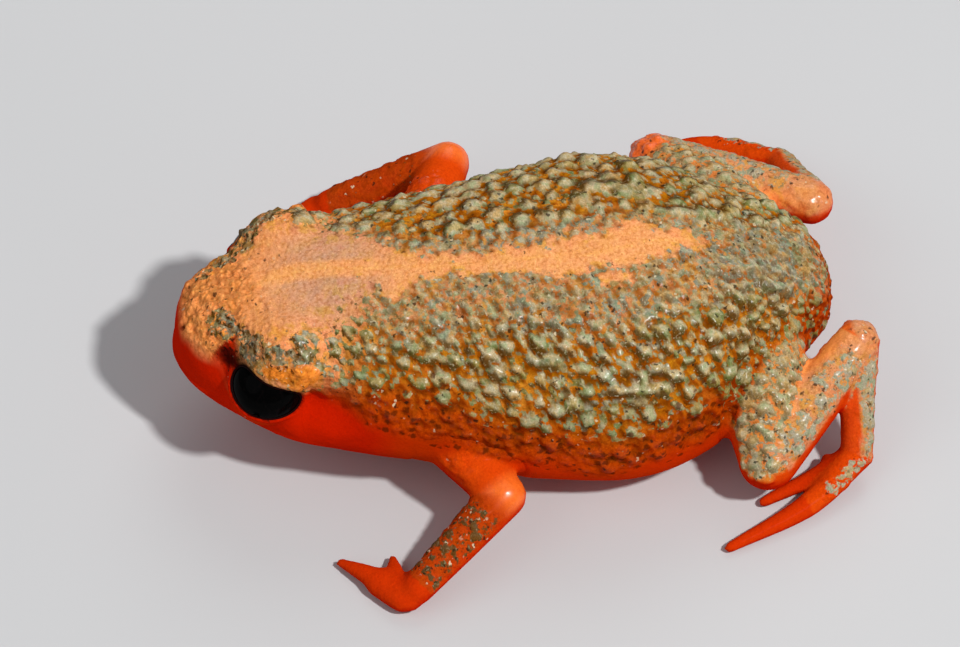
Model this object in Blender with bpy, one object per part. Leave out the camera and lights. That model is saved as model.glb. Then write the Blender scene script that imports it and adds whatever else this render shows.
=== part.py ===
"""Warty saddleback toadlet (Brachycephalus verrucosus), life size, as one still model in named parts.

The animal sits on the floor with its head raised and its legs folded, bent a little to its right.
+Z is up, the snout points to -Y and the animal's left side is +X. Shapes are worked out in millimetres,
with Y measured from the snout, and become metres when each part is made.
"""

import math
import random

import bmesh
import bpy
import numpy as np
from mathutils import Vector

MM = 0.001
MERGE_DISTANCE = 2e-6  # points of a cut mesh closer than this, in metres, become one

# Driving sizes, in millimetres
BEND_RADIUS = 35.0  # of the arc that the spine follows, curving to the animal's right
BEND_CENTRE = 6.0  # distance from the snout where that arc runs straight along Y
NECK = 3.6  # distance from the snout to the cut between head and torso
JOINT_GAP = 0.16  # between two parts that meet
EYE_GAP = 0.09  # between an eyeball and its socket
SEED = 11

# Body sections: distance from snout, half width, top, height of the widest level, bottom
SECTIONS = (
    (0.00, 0.00, 1.72, 1.72, 1.72),
    (0.09, 0.50, 2.46, 1.86, 1.62),
    (0.40, 0.98, 2.84, 1.82, 1.44),
    (1.05, 1.50, 3.10, 1.76, 1.24),
    (2.00, 1.98, 3.34, 1.68, 0.96),
    (3.20, 2.24, 3.52, 1.62, 0.64),
    (4.40, 2.46, 3.64, 1.58, 0.38),
    (5.80, 2.76, 3.74, 1.46, 0.06),
    (7.20, 2.94, 3.74, 1.38, -0.10),
    (8.40, 2.62, 3.58, 1.42, -0.02),
    (9.40, 1.98, 3.24, 1.50, 0.30),
    (10.25, 1.36, 2.78, 1.58, 0.80),
    (10.80, 0.84, 2.34, 1.62, 1.20),
    (11.00, 0.00, 1.74, 1.74, 1.74),
)
CROWN_SQUARENESS = 2.25
BELLY_SQUARENESS = 2.5

# Head features
MOUTH_ANGLE = -0.5  # round the section, below its widest level, in radians
MOUTH_DEPTH = 0.09
MOUTH_CORNER = 2.6  # distance from the snout where the line of the mouth ends
LIP_SWELL = 0.035
EYE_RADIUS = 0.64
EYE_PLACE = (1.31, 1.55, 2.14)  # out from the midline, from the snout, up
LID_PLACE = (1.32, 1.76, 2.86)
LID_SWELL = 0.36
LID_REACH = 0.62
NOSTRIL_PLACE = (0.40, 0.22, 2.52)
NOSTRIL_RADIUS = 0.13
NOSTRIL_DEPTH = 0.09

# Warts of the back and flanks
WART_RADIUS = (0.22, 0.36)
WART_RISE = 0.46  # height of a wart, for each unit of its radius
WART_SPACING = 0.44
WART_LOWEST = 0.75  # the lower flank and belly are smooth below this height
WART_CLEARANCE = 0.85  # no wart's centre is closer than this to the middle of a limb

# Limb joints of each side, in millimetres
JOINTS = {
    "left": {
        "shoulder": (1.60, 4.05, 1.45),
        "elbow": (3.05, 5.03, 1.05),
        "wrist": (4.22, 3.42, 0.36),
        "palm": (4.12, 3.12, 0.22),
        "finger_3": (3.33, 2.26, 0.12),
        "finger_2": (3.40, 3.12, 0.13),
        "hip": (1.10, 9.62, 1.60),
        "knee": (2.85, 9.50, 0.88),
        "heel": (1.32, 11.24, 1.80),
        "ankle": (2.64, 11.05, 0.45),
        "toe_4_bend": (3.36, 10.10, 0.20),
        "toe_4": (3.97, 8.68, 0.11),
        "toe_3_bend": (2.80, 10.35, 0.22),
        "toe_3": (3.12, 9.40, 0.11),
    },
    "right": {
        "shoulder": (-1.85, 4.20, 1.65),
        "elbow": (-3.80, 5.10, 1.40),
        "wrist": (-3.98, 3.10, 0.42),
        "palm": (-3.94, 2.78, 0.22),
        "finger_3": (-3.45, 1.75, 0.12),
        "finger_2": (-3.20, 2.60, 0.13),
        "hip": (-1.40, 9.62, 1.70),
        "knee": (-3.30, 8.62, 1.36),
        "heel": (-1.90, 11.02, 1.60),
        "ankle": (-3.60, 10.80, 0.58),
        "toe_4_bend": (-4.45, 9.60, 0.22),
        "toe_4": (-4.42, 8.35, 0.11),
        "toe_3_bend": (-3.90, 9.70, 0.22),
        "toe_3": (-3.85, 8.95, 0.11),
    },
}

# Limb radii, in millimetres
RADIUS = {
    "shoulder": 0.54,
    "upper_arm": 0.46,
    "elbow": 0.38,
    "forearm": 0.31,
    "wrist": 0.26,
    "hip": 0.78,
    "thigh": 0.72,
    "knee": 0.50,
    "shank": 0.46,
    "heel": 0.38,
    "tarsus": 0.30,
    "ankle": 0.27,
    "toe_root": 0.19,
    "toe_tip": 0.10,
    "finger_root": 0.22,
    "finger_tip": 0.09,
    "palm_root": 0.29,
    "palm": 0.34,
    "palm_front": 0.28,
    "digit_bump": 0.12,
}

# Colours and finish of each material: red, green, blue, roughness
COLOURS = {
    "back": (0.20, 0.20, 0.12, 0.35),
    "snout": (0.75, 0.22, 0.06, 0.35),
    "limb": (0.72, 0.10, 0.01, 0.30),
    "eye": (0.004, 0.004, 0.005, 0.05),
}

# Grid densities
HEAD_ROWS = 28
HEAD_COLUMNS = 48
TORSO_ROWS = 50
TORSO_COLUMNS = 84
LIMB_SIDES = 12
ROW_SPACING = 0.28


def clear_scene():
    """Take every object out of the scene."""
    for item in list(bpy.data.objects):
        bpy.data.objects.remove(item)


def along_curve(table, place):
    """Rows at place, counted in rows, of a smooth curve (Catmull-Rom) through the rows of a table."""
    table = np.asarray(table, float)
    padded = np.vstack([2 * table[0] - table[1], table, 2 * table[-1] - table[-2]])
    place = np.asarray(place, float)
    first = np.clip(place.astype(int), 0, len(table) - 2)
    f = (place - first)[..., None]
    p0, p1, p2, p3 = (padded[first + k] for k in range(4))
    return 0.5 * (
        2 * p1
        + (p2 - p0) * f
        + (2 * p0 - 5 * p1 + 4 * p2 - p3) * f**2
        + (3 * p1 - p0 - 3 * p2 + p3) * f**3
    )


def section_profile(samples=1200):
    """Dense table of the body's sections. Its ends mirror, so that snout and vent are round, not pointed."""
    table = np.asarray(SECTIONS, float)
    rises = np.column_stack([table[:, 0], table[:, 1], table[:, 2] - table[:, 3], table[:, 3],
                             table[:, 3] - table[:, 4]])
    flip = np.array([1.0, -1.0, -1.0, 1.0, -1.0])
    mirrored = np.vstack([rises[1] * flip, rises, rises[-2] * flip])
    mirrored[0, 0] = rises[1, 0]
    mirrored[-1, 0] = rises[-2, 0]
    place = np.linspace(1, len(table), samples)
    dense = along_curve(mirrored, place)
    dense[[0, -1], 1] = 0.0
    dense[[0, -1], 2] = 0.0
    dense[[0, -1], 4] = 0.0
    return dense


def section_rows(start, end, count):
    """Sections from start to end along the body, spaced evenly along the outline seen from above."""
    dense = section_profile()
    inside = dense[(dense[:, 0] > start) & (dense[:, 0] < end)]
    ends = []
    for limit in (start, end):
        nearest = np.array([np.interp(limit, dense[:, 0], dense[:, k]) for k in range(5)])
        ends.append(nearest)
    chain = np.vstack([ends[0], inside, ends[1]])
    steps = np.hypot(np.diff(chain[:, 0]), np.diff(chain[:, 1]) + np.diff(chain[:, 2]))
    run = np.concatenate([[0], np.cumsum(steps)])
    wanted = np.linspace(0, run[-1], count)
    return np.column_stack([np.interp(wanted, run, chain[:, k]) for k in range(5)])


def body_points(rows, angles, margin=0.0):
    """Grid of points: superellipse sections whose crown and belly halves have their own heights."""
    cos, sin = np.cos(angles), np.sin(angles)
    power = 2 / np.where(sin >= 0, CROWN_SQUARENESS, BELLY_SQUARENESS)
    wide = np.sign(cos) * np.abs(cos) ** power
    tall = np.sign(sin) * np.abs(sin) ** power
    half = rows[:, 1:2] + margin
    rise = np.where(sin >= 0, rows[:, 2:3] + margin, rows[:, 4:5] + margin)
    x = half * wide
    z = rows[:, 3:4] + rise * tall
    y = np.broadcast_to(rows[:, 0:1], x.shape)
    return np.stack([x, y, z], axis=-1)


def grid_normals(points):
    """Outward unit normals of a grid that closes round its columns."""
    across = np.roll(points, -1, axis=1) - np.roll(points, 1, axis=1)
    down = np.gradient(points, axis=0)
    normal = np.cross(down, across)
    length = np.linalg.norm(normal, axis=-1, keepdims=True)
    return normal / np.maximum(length, 1e-9)


def bend(points):
    """Bend straight body points round the spine's arc, which curves to the animal's right."""
    points = np.asarray(points, float)
    angle = (points[..., 1] - BEND_CENTRE) / BEND_RADIUS
    reach = BEND_RADIUS + points[..., 0]
    return np.stack(
        [reach * np.cos(angle) - BEND_RADIUS, BEND_CENTRE + reach * np.sin(angle), points[..., 2]],
        axis=-1,
    )


def swelling(points, centre, reach):
    """Smooth weight from 1 at the centre to 0 at the reach."""
    distance = np.linalg.norm(points - np.asarray(centre, float), axis=-1)
    return np.clip(1 - (distance / reach) ** 2, 0, None) ** 2


def both_sides(place):
    """A place on the left and its mirror on the right."""
    return place, (-place[0], place[1], place[2])


def head_angles():
    """Angles round the head's section, with a few close together at the line of the mouth."""
    angles = np.linspace(-math.pi, math.pi, HEAD_COLUMNS, endpoint=False)
    close = np.array([-0.12, -0.06, 0.0, 0.06, 0.12])
    lines = (MOUTH_ANGLE, -math.pi - MOUTH_ANGLE)
    for line in lines:
        angles = angles[np.abs(angles - line) > 0.17]
        angles = np.append(angles, line + close)
    return np.sort(angles)


def shape_head(points, angles):
    """Raise lids and lips and sink the mouth line and nostrils in the head's own surface."""
    normals = grid_normals(points)
    lift = np.zeros(points.shape[:2])
    for centre in both_sides(LID_PLACE):
        lift += LID_SWELL * swelling(points, centre, LID_REACH * 1.7)
    for centre in both_sides(NOSTRIL_PLACE):
        lift -= NOSTRIL_DEPTH * swelling(points, centre, NOSTRIL_RADIUS * 1.6)
    fade = np.clip((MOUTH_CORNER - points[..., 1]) / 0.4, 0, 1)
    for line in (MOUTH_ANGLE, -math.pi - MOUTH_ANGLE):
        offset = angles[None, :] - line
        lift -= MOUTH_DEPTH * fade * np.exp(-((offset / 0.05) ** 2))
        lift += LIP_SWELL * fade * np.exp(-(((np.abs(offset) - 0.13) / 0.07) ** 2))
    return points + normals * lift[..., None]


def wart_centres(points, rng):
    """Seeded places on the torso grid, none closer to another than the spacing, with their radii."""
    roots = [side[name] for side in JOINTS.values() for name in ("shoulder", "hip")]
    limbs = [side[name] for side in JOINTS.values() for name in ("elbow", "knee")]
    ways = [(Vector(root), Vector(limb)) for root, limb in zip(roots, limbs)]
    rows, columns = points.shape[:2]
    kept = []
    for _ in range(6000):
        row = rng.uniform(1, rows - 2)
        column = rng.uniform(0, columns)
        low, left = int(row), int(column)
        f, g = row - low, column - left
        right = (left + 1) % columns
        near = points[low, left % columns] * (1 - g) + points[low, right] * g
        far = points[low + 1, left % columns] * (1 - g) + points[low + 1, right] * g
        centre = near * (1 - f) + far * f
        if centre[2] < WART_LOWEST:
            continue
        clear = min(distance_to_segment(Vector(bend(centre)), *way) for way in ways)
        if clear < WART_CLEARANCE:
            continue
        radius = rng.uniform(*WART_RADIUS)
        apart = WART_SPACING * (0.75 + 0.5 * abs(centre[0]) / 3)
        if all(np.linalg.norm(centre - other) > apart for other, _ in kept):
            kept.append((centre, radius))
    return kept


def distance_to_segment(point, start, end):
    """Distance from a point to the straight line between two others."""
    way = end - start
    share = max(0.0, min(1.0, (point - start).dot(way) / way.length_squared))
    return (point - start - way * share).length


def raise_warts(points, centres):
    """Raise a dome at each place along the grid's normals. Where domes meet, the higher one shows."""
    normals = grid_normals(points)
    lift = np.zeros(points.shape[:2])
    for centre, radius in centres:
        lift = np.maximum(lift, WART_RISE * radius * swelling(points, centre, radius * 1.15))
    return points + normals * lift[..., None]


def close_grid(points, close_start, close_end):
    """Vertices and faces of a grid closed round its columns. An end is one point or a flat face."""
    rows, columns = points.shape[:2]
    vertices = []
    rings = []
    for r in range(rows):
        at_pole = (r == 0 and close_start == "pole") or (r == rows - 1 and close_end == "pole")
        if at_pole:
            rings.append([len(vertices)])
            vertices.append(points[r].mean(axis=0))
        else:
            rings.append(list(range(len(vertices), len(vertices) + columns)))
            vertices.extend(points[r])
    faces = []
    for near, far in zip(rings[:-1], rings[1:]):
        for c in range(columns):
            d = (c + 1) % columns
            if len(near) == 1:
                faces.append((near[0], far[d], far[c]))
            elif len(far) == 1:
                faces.append((near[c], near[d], far[0]))
            else:
                faces.append((near[c], near[d], far[d]))
                faces.append((near[c], far[d], far[c]))
    if close_start == "flat":
        faces.append(tuple(reversed(rings[0])))
    if close_end == "flat":
        faces.append(tuple(rings[-1]))
    return np.array(vertices), faces


def tube(path, radii, sides=LIMB_SIDES, flatten=1.0, spacing=ROW_SPACING):
    """Vertices and faces of a limb: round sections carried along a smooth path, with round ends."""
    path = np.asarray(path, float)
    fine = np.linspace(0, len(path) - 1, 200)
    line = along_curve(path, fine) if len(path) > 2 else path[0] + (path[1] - path[0]) * fine[:, None]
    width = np.interp(fine, np.arange(len(radii)), radii)
    run = np.concatenate([[0], np.cumsum(np.linalg.norm(np.diff(line, axis=0), axis=1))])
    count = max(4, int(run[-1] / spacing) + 1)
    wanted = np.linspace(0, run[-1], count)
    centres = np.column_stack([np.interp(wanted, run, line[:, k]) for k in range(3)])
    size = np.interp(wanted, run, width)
    tangents = np.gradient(centres, axis=0)
    tangents /= np.linalg.norm(tangents, axis=1, keepdims=True)
    turn = np.linspace(0, math.pi / 2, 5)[:-1]
    start = centres[0] - tangents[0] * (size[0] * np.cos(turn))[:, None]
    end = centres[-1] + tangents[-1] * (size[-1] * np.cos(turn[::-1]))[:, None]
    centres = np.vstack([start, centres, end])
    tangents = np.vstack([np.repeat(tangents[:1], 4, 0), tangents, np.repeat(tangents[-1:], 4, 0)])
    size = np.concatenate([size[0] * np.sin(turn), size, size[-1] * np.sin(turn[::-1])])
    side = np.cross(tangents, [0.0, 0.0, 1.0])
    side /= np.linalg.norm(side, axis=1, keepdims=True)
    up = np.cross(side, tangents)
    angles = np.linspace(0, 2 * math.pi, sides, endpoint=False)
    ring = (
        side[:, None, :] * np.cos(angles)[None, :, None]
        - up[:, None, :] * np.sin(angles)[None, :, None] * flatten
    )
    points = centres[:, None, :] + ring * size[:, None, None]
    points[..., 2] = np.maximum(points[..., 2], 0.0)
    return close_grid(points, "pole", "pole")


def material(name):
    """The named material: a Principled shader with its colour and roughness."""
    if name in bpy.data.materials:
        return bpy.data.materials[name]
    red, green, blue, roughness = COLOURS[name]
    made = bpy.data.materials.new(name)
    made.use_nodes = True
    shader = made.node_tree.nodes["Principled BSDF"]
    shader.inputs["Base Color"].default_value = (red, green, blue, 1.0)
    shader.inputs["Roughness"].default_value = roughness
    shader.inputs["Metallic"].default_value = 0.0
    return made


def mesh_object(name, vertices, faces, colour, frog, origin=(0.0, 0.0, 0.0)):
    """An object of the given shape in millimetres, standing at its own origin under the frog's empty."""
    mesh = bpy.data.meshes.new(name)
    local = (np.asarray(vertices) - np.asarray(origin, float)) * MM
    mesh.from_pydata(local.tolist(), [], [tuple(int(v) for v in face) for face in faces])
    mesh.update()
    made = bpy.data.objects.new(name, mesh)
    bpy.context.scene.collection.objects.link(made)
    made.location = Vector(origin) * MM
    made.parent = frog
    mesh.materials.append(material(colour))
    mesh.shade_smooth()
    face_out(mesh)
    return made


def face_out(mesh):
    """Turn a mesh's faces outwards."""
    work = bmesh.new()
    work.from_mesh(mesh)
    bmesh.ops.recalc_face_normals(work, faces=work.faces)
    work.to_mesh(mesh)
    work.free()


def as_guide(item):
    """Mark a shape as a guide that is no part of the model."""
    item.hide_render = True
    item.display_type = "WIRE"
    return item


def cut_away(item, guide):
    """Take the guide's shape out of the item with a Boolean."""
    cutter = item.modifiers.new("Clearance", "BOOLEAN")
    cutter.operation = "DIFFERENCE"
    cutter.solver = "EXACT"
    cutter.object = guide
    apply_modifiers(item)


def apply_modifiers(item):
    """Give an item the mesh that its modifiers make, and keep only its largest closed surface."""
    bpy.context.view_layer.update()
    graph = bpy.context.evaluated_depsgraph_get()
    item.data = bpy.data.meshes.new_from_object(item.evaluated_get(graph))
    item.modifiers.clear()
    work = bmesh.new()
    work.from_mesh(item.data)
    bmesh.ops.remove_doubles(work, verts=work.verts, dist=MERGE_DISTANCE)
    bmesh.ops.dissolve_degenerate(work, edges=work.edges, dist=MERGE_DISTANCE)
    bmesh.ops.triangulate(work, faces=work.faces)
    bodies = []
    left = set(work.verts)
    while left:
        found = {left.pop()}
        newest = set(found)
        while newest:
            near = {edge.other_vert(vertex) for vertex in newest for edge in vertex.link_edges}
            newest = near & left
            left -= newest
            found |= newest
        bodies.append(found)
    bodies.sort(key=len)
    scraps = [vertex for body in bodies[:-1] for vertex in body]
    bmesh.ops.delete(work, geom=scraps, context="VERTS")
    work.to_mesh(item.data)
    work.free()


def trim(item, point, normal):
    """Cut an item flat at a plane, in millimetres, and keep the side that the normal points away from."""
    origin = np.asarray(item.location) / MM
    work = bmesh.new()
    work.from_mesh(item.data)
    geometry = list(work.verts) + list(work.edges) + list(work.faces)
    place = (np.asarray(point, float) - origin) * MM
    bmesh.ops.bisect_plane(work, geom=geometry, plane_co=place, plane_no=normal, clear_outer=True,
                           dist=1e-8)
    rim = [edge for edge in work.edges if edge.is_boundary]
    bmesh.ops.holes_fill(work, edges=rim, sides=0)
    bmesh.ops.recalc_face_normals(work, faces=work.faces)
    work.to_mesh(item.data)
    work.free()


def part_at_joint(first, second, before, joint, after):
    """Part two limb lengths at their joint, on the plane that halves the angle between them."""
    joint = Vector(joint)
    towards_first = (Vector(before) - joint).normalized()
    towards_second = (Vector(after) - joint).normalized()
    normal = (towards_second - towards_first).normalized()
    trim(first, joint - normal * JOINT_GAP / 2, normal)
    trim(second, joint + normal * JOINT_GAP / 2, -normal)


def join(item, pieces):
    """Fuse closed pieces into an item with one Boolean union, then remove them."""
    group = bpy.data.collections.new(item.name + " pieces")
    bpy.context.scene.collection.children.link(group)
    for piece in pieces:
        bpy.context.scene.collection.objects.unlink(piece)
        group.objects.link(piece)
    union = item.modifiers.new("Union", "BOOLEAN")
    union.operation = "UNION"
    union.solver = "EXACT"
    union.operand_type = "COLLECTION"
    union.collection = group
    apply_modifiers(item)
    for piece in pieces:
        bpy.data.objects.remove(piece)
    bpy.data.collections.remove(group)


def make_torso(frog, rng):
    """The trunk from neck to vent, with its warts, resting flat on the floor under the belly.

    Returns the guide that clears the limbs' roots from it."""
    rows = section_rows(NECK + JOINT_GAP / 2, SECTIONS[-1][0], TORSO_ROWS)
    angles = np.linspace(-math.pi, math.pi, TORSO_COLUMNS, endpoint=False)
    smooth = body_points(rows, angles)
    points = raise_warts(smooth, wart_centres(smooth, rng))
    points[0] = smooth[0]
    points = bend(points)
    points[..., 2] = np.maximum(points[..., 2], 0.0)
    vertices, faces = close_grid(points, "flat", "pole")
    mesh_object("torso", vertices, faces, "back", frog)
    room = bend(smooth + grid_normals(smooth) * JOINT_GAP)
    vertices, faces = close_grid(room, "flat", "pole")
    return as_guide(mesh_object("torso clearance", vertices, faces, "back", frog))


def make_head(frog):
    """The head from snout to neck, with its lids, lips, mouth line, nostrils and eyes."""
    rows = section_rows(0.0, NECK - JOINT_GAP / 2, HEAD_ROWS)
    angles = head_angles()
    points = body_points(rows, angles)
    flat_end = points[-1].copy()
    points = shape_head(points, angles)
    points[-1] = flat_end
    vertices, faces = close_grid(bend(points), "pole", "flat")
    head = mesh_object("head", vertices, faces, "snout", frog)
    for side, place in zip(("left", "right"), both_sides(EYE_PLACE)):
        make_eye(frog, head, side, bend(place))


def make_eye(frog, head, side, place):
    """A round eyeball, and the socket that its lid and cheek leave for it."""
    for name, radius in (("eye_" + side, EYE_RADIUS), ("socket " + side, EYE_RADIUS + EYE_GAP)):
        work = bmesh.new()
        bmesh.ops.create_uvsphere(work, u_segments=20, v_segments=12, radius=radius * MM)
        mesh = bpy.data.meshes.new(name)
        work.to_mesh(mesh)
        work.free()
        mesh.materials.append(material("eye"))
        mesh.shade_smooth()
        ball = bpy.data.objects.new(name, mesh)
        bpy.context.scene.collection.objects.link(ball)
        ball.location = Vector(place) * MM
        ball.parent = frog
    cut_away(head, as_guide(ball))


def make_arm(frog, clearance, side):
    """Upper arm, forearm and hand of one side, parted at elbow and wrist."""
    at = JOINTS[side]
    upper = limb_length(frog, "upper_arm_" + side, at, ("shoulder", "elbow"),
                        ("shoulder", "upper_arm", "elbow"))
    fore = limb_length(frog, "forearm_" + side, at, ("elbow", "wrist"), ("elbow", "forearm", "wrist"))
    part_at_joint(upper, fore, at["shoulder"], at["elbow"], at["wrist"])
    cut_away(upper, clearance)
    hand = make_hand(frog, side, at)
    part_at_joint(fore, hand, at["elbow"], at["wrist"], at["palm"])


def limb_length(frog, name, at, ends, radii):
    """One straight length of limb between two joints, swelling or narrowing by its named radii."""
    start, end = (np.array(at[key]) for key in ends)
    path = [start, (start + end) / 2, end]
    vertices, faces = tube(path, [RADIUS[key] for key in radii])
    return mesh_object(name, vertices, faces, "limb", frog, origin=start)


def make_hand(frog, side, at):
    """A hand: a flat palm, the long pointed third finger, the short second and two mere bumps."""
    wrist, palm = np.array(at["wrist"]), np.array(at["palm"])
    tip = np.array(at["finger_3"])
    outward = palm - tip
    outward[2] = 0
    heel = palm + outward * 0.12
    vertices, faces = tube([wrist, (wrist + heel) / 2, heel, palm + (tip - palm) * 0.3],
                           [RADIUS[key] for key in ("wrist", "palm_root", "palm", "palm_front")],
                           flatten=0.75)
    hand = mesh_object("hand_" + side, vertices, faces, "limb", frog, origin=wrist)
    pieces = []
    for key, root in (("finger_3", RADIUS["finger_root"]), ("finger_2", RADIUS["finger_root"] * 0.8)):
        end = np.array(at[key])
        bend_point = palm + (end - palm) * 0.5 + np.array([0, 0, 0.03])
        vertices, faces = tube([palm, bend_point, end], [root, root * 0.85, RADIUS["finger_tip"]],
                               sides=10, flatten=0.85)
        pieces.append(mesh_object(key + " " + side, vertices, faces, "limb", frog))
    across = np.array(at["finger_2"]) - palm
    for key, place in (("finger_1", wrist + across * 0.45), ("finger_4", palm - across * 0.36)):
        pieces.append(digit_bump(frog, key + " " + side, palm, place))
    join(hand, pieces)
    return hand


def digit_bump(frog, name, root, end):
    """The bump that a reduced finger or toe makes, with its root sunk in the hand or foot."""
    vertices, faces = tube([root, end], [RADIUS["digit_bump"]] * 2, sides=8)
    return mesh_object(name, vertices, faces, "limb", frog)


def make_leg(frog, clearance, side):
    """Thigh, shank, tarsus and foot of one side, parted at knee, heel and ankle."""
    at = JOINTS[side]
    thigh = limb_length(frog, "thigh_" + side, at, ("hip", "knee"), ("hip", "thigh", "knee"))
    shank = limb_length(frog, "shank_" + side, at, ("knee", "heel"), ("knee", "shank", "heel"))
    part_at_joint(thigh, shank, at["hip"], at["knee"], at["heel"])
    cut_away(thigh, clearance)
    cut_away(shank, clearance)
    tarsus = limb_length(frog, "tarsus_" + side, at, ("heel", "ankle"), ("heel", "tarsus", "ankle"))
    part_at_joint(shank, tarsus, at["knee"], at["heel"], at["ankle"])
    foot = make_foot(frog, side, at)
    part_at_joint(tarsus, foot, at["heel"], at["ankle"], at["toe_4"])


def make_foot(frog, side, at):
    """A foot: the long fourth toe, the shorter third toe beside it and the bumps of second and fifth."""
    ankle = np.array(at["ankle"])
    ends = {"toe_4": RADIUS["toe_root"] * 1.1, "toe_3": RADIUS["toe_root"] * 0.9}
    made = []
    for key, root in ends.items():
        tip, middle = np.array(at[key]), np.array(at[key + "_bend"])
        name = "foot_" + side if key == "toe_4" else key + " " + side
        vertices, faces = tube([ankle, middle, tip], [RADIUS["ankle"], root, RADIUS["toe_tip"]],
                               sides=12, flatten=0.9)
        made.append(mesh_object(name, vertices, faces, "limb", frog, origin=ankle))
    foot, toe = made
    bend_place = np.array(at["toe_4_bend"])
    across = bend_place - np.array(at["toe_3_bend"])
    bumps = (("toe_5", bend_place + across * 0.28 + (ankle - bend_place) * 0.25),
             ("toe_2", bend_place - across * 1.3 + (ankle - bend_place) * 0.15))
    roots = ((ankle + bend_place) / 2, (ankle + np.array(at["toe_3_bend"])) / 2)
    pieces = [digit_bump(frog, key + " " + side, root, place) for (key, place), root in zip(bumps, roots)]
    join(foot, [toe] + pieces)
    return foot


def centre_on_floor(frog):
    """Stand the frog so that the middle of its box is at X 0 and Y 0. Its lowest flats are at Z 0."""
    corners = []
    for item in frog.children:
        if not item.hide_render:
            place = np.asarray(item.location)
            data = np.empty(len(item.data.vertices) * 3)
            item.data.vertices.foreach_get("co", data)
            corners.append(data.reshape(-1, 3) + place)
    corners = np.vstack(corners)
    middle = (corners.min(axis=0) + corners.max(axis=0)) / 2
    frog.location = (-middle[0], -middle[1], 0.0)


def main():
    """Model the whole frog."""
    clear_scene()
    rng = random.Random(SEED)
    frog = bpy.data.objects.new("frog", None)
    bpy.context.scene.collection.objects.link(frog)
    clearance = make_torso(frog, rng)
    make_head(frog)
    for side in JOINTS:
        make_arm(frog, clearance, side)
        make_leg(frog, clearance, side)
    centre_on_floor(frog)


main()
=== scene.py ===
"""The finished look of a life-size warty saddleback toadlet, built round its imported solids.

One skin covers head, trunk and limbs. The eyes and the rims of their lids are pieces of their own.
Shapes are worked out in millimetres: first in a straight body, with X out to the animal's left, Y back
from the snout and Z up, then bent round the spine's arc, and in metres once a mesh is done.
"""

import math

import bpy
import numpy as np
from bpy.props import FloatProperty, FloatVectorProperty, IntProperty, PointerProperty
from mathutils import Matrix, Vector


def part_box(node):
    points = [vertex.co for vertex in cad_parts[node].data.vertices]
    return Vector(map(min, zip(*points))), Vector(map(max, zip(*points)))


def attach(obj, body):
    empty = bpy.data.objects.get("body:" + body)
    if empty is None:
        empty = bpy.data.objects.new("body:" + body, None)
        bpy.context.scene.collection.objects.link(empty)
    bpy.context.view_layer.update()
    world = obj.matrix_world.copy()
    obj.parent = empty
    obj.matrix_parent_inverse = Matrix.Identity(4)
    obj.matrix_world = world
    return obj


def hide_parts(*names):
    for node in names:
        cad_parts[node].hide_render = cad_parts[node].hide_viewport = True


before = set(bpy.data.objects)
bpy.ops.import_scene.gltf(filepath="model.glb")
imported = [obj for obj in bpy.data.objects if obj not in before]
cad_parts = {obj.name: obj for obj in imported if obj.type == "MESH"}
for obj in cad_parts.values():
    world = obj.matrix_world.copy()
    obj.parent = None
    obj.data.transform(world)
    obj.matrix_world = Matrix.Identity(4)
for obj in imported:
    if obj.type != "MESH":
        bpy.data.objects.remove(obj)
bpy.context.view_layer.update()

bl_info = {
    "name": "Warty Toadlet",
    "version": (1, 0, 0),
    "blender": (4, 5, 0),
    "location": "View3D > Sidebar > Toadlet",
    "description": "Skin, eyes and stage for a life-size warty saddleback toadlet",
    "category": "Object",
}

MM = 0.001

# The body's sections: distance from snout, half width, top, height of the widest level, bottom
SECTIONS = np.array((
    (0.00, 0.00, 1.72, 1.72, 1.72),
    (0.09, 0.50, 2.46, 1.86, 1.62),
    (0.40, 0.98, 2.84, 1.82, 1.44),
    (1.05, 1.50, 3.10, 1.76, 1.24),
    (2.00, 1.98, 3.34, 1.68, 0.96),
    (3.20, 2.24, 3.52, 1.62, 0.64),
    (4.40, 2.46, 3.64, 1.58, 0.38),
    (5.80, 2.76, 3.74, 1.46, 0.06),
    (7.20, 2.94, 3.74, 1.38, -0.10),
    (8.40, 2.62, 3.58, 1.42, -0.02),
    (9.40, 1.98, 3.24, 1.50, 0.30),
    (10.25, 1.36, 2.78, 1.58, 0.80),
    (10.80, 0.84, 2.34, 1.62, 1.20),
    (11.00, 0.00, 1.74, 1.74, 1.74),
))
CROWN_SQUARENESS = 2.25
BELLY_SQUARENESS = 2.5
BEND_RADIUS = 35.0
BEND_CENTRE = 6.0

# Limb joints, left and right, then the lengths of the limbs between them with the radii of the flesh along
# each, and the ends of the limbs, which the skin's colours follow
JOINT_PLACES = {
    "shoulder": ((1.60, 4.05, 1.45), (-1.85, 4.20, 1.65)),
    "elbow": ((3.05, 5.03, 1.05), (-3.80, 5.10, 1.40)),
    "wrist": ((4.22, 3.42, 0.36), (-3.98, 3.10, 0.42)),
    "palm": ((4.12, 3.12, 0.22), (-3.94, 2.78, 0.22)),
    "finger_3": ((3.33, 2.26, 0.12), (-3.45, 1.75, 0.12)),
    "finger_2": ((3.40, 3.12, 0.13), (-3.20, 2.60, 0.13)),
    "hip": ((1.10, 9.62, 1.60), (-1.40, 9.62, 1.70)),
    "knee": ((2.85, 9.50, 0.88), (-3.30, 8.62, 1.36)),
    "heel": ((1.32, 11.24, 1.80), (-1.90, 11.02, 1.60)),
    "ankle": ((2.64, 11.05, 0.45), (-3.60, 10.80, 0.58)),
    "toe_4_bend": ((3.36, 10.10, 0.20), (-4.45, 9.60, 0.22)),
    "toe_4": ((3.97, 8.68, 0.11), (-4.42, 8.35, 0.11)),
    "toe_3_bend": ((2.80, 10.35, 0.22), (-3.90, 9.70, 0.22)),
    "toe_3": ((3.12, 9.40, 0.11), (-3.85, 8.95, 0.11)),
}
JOINTS = [{name: places[side] for name, places in JOINT_PLACES.items()} for side in (0, 1)]
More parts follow.
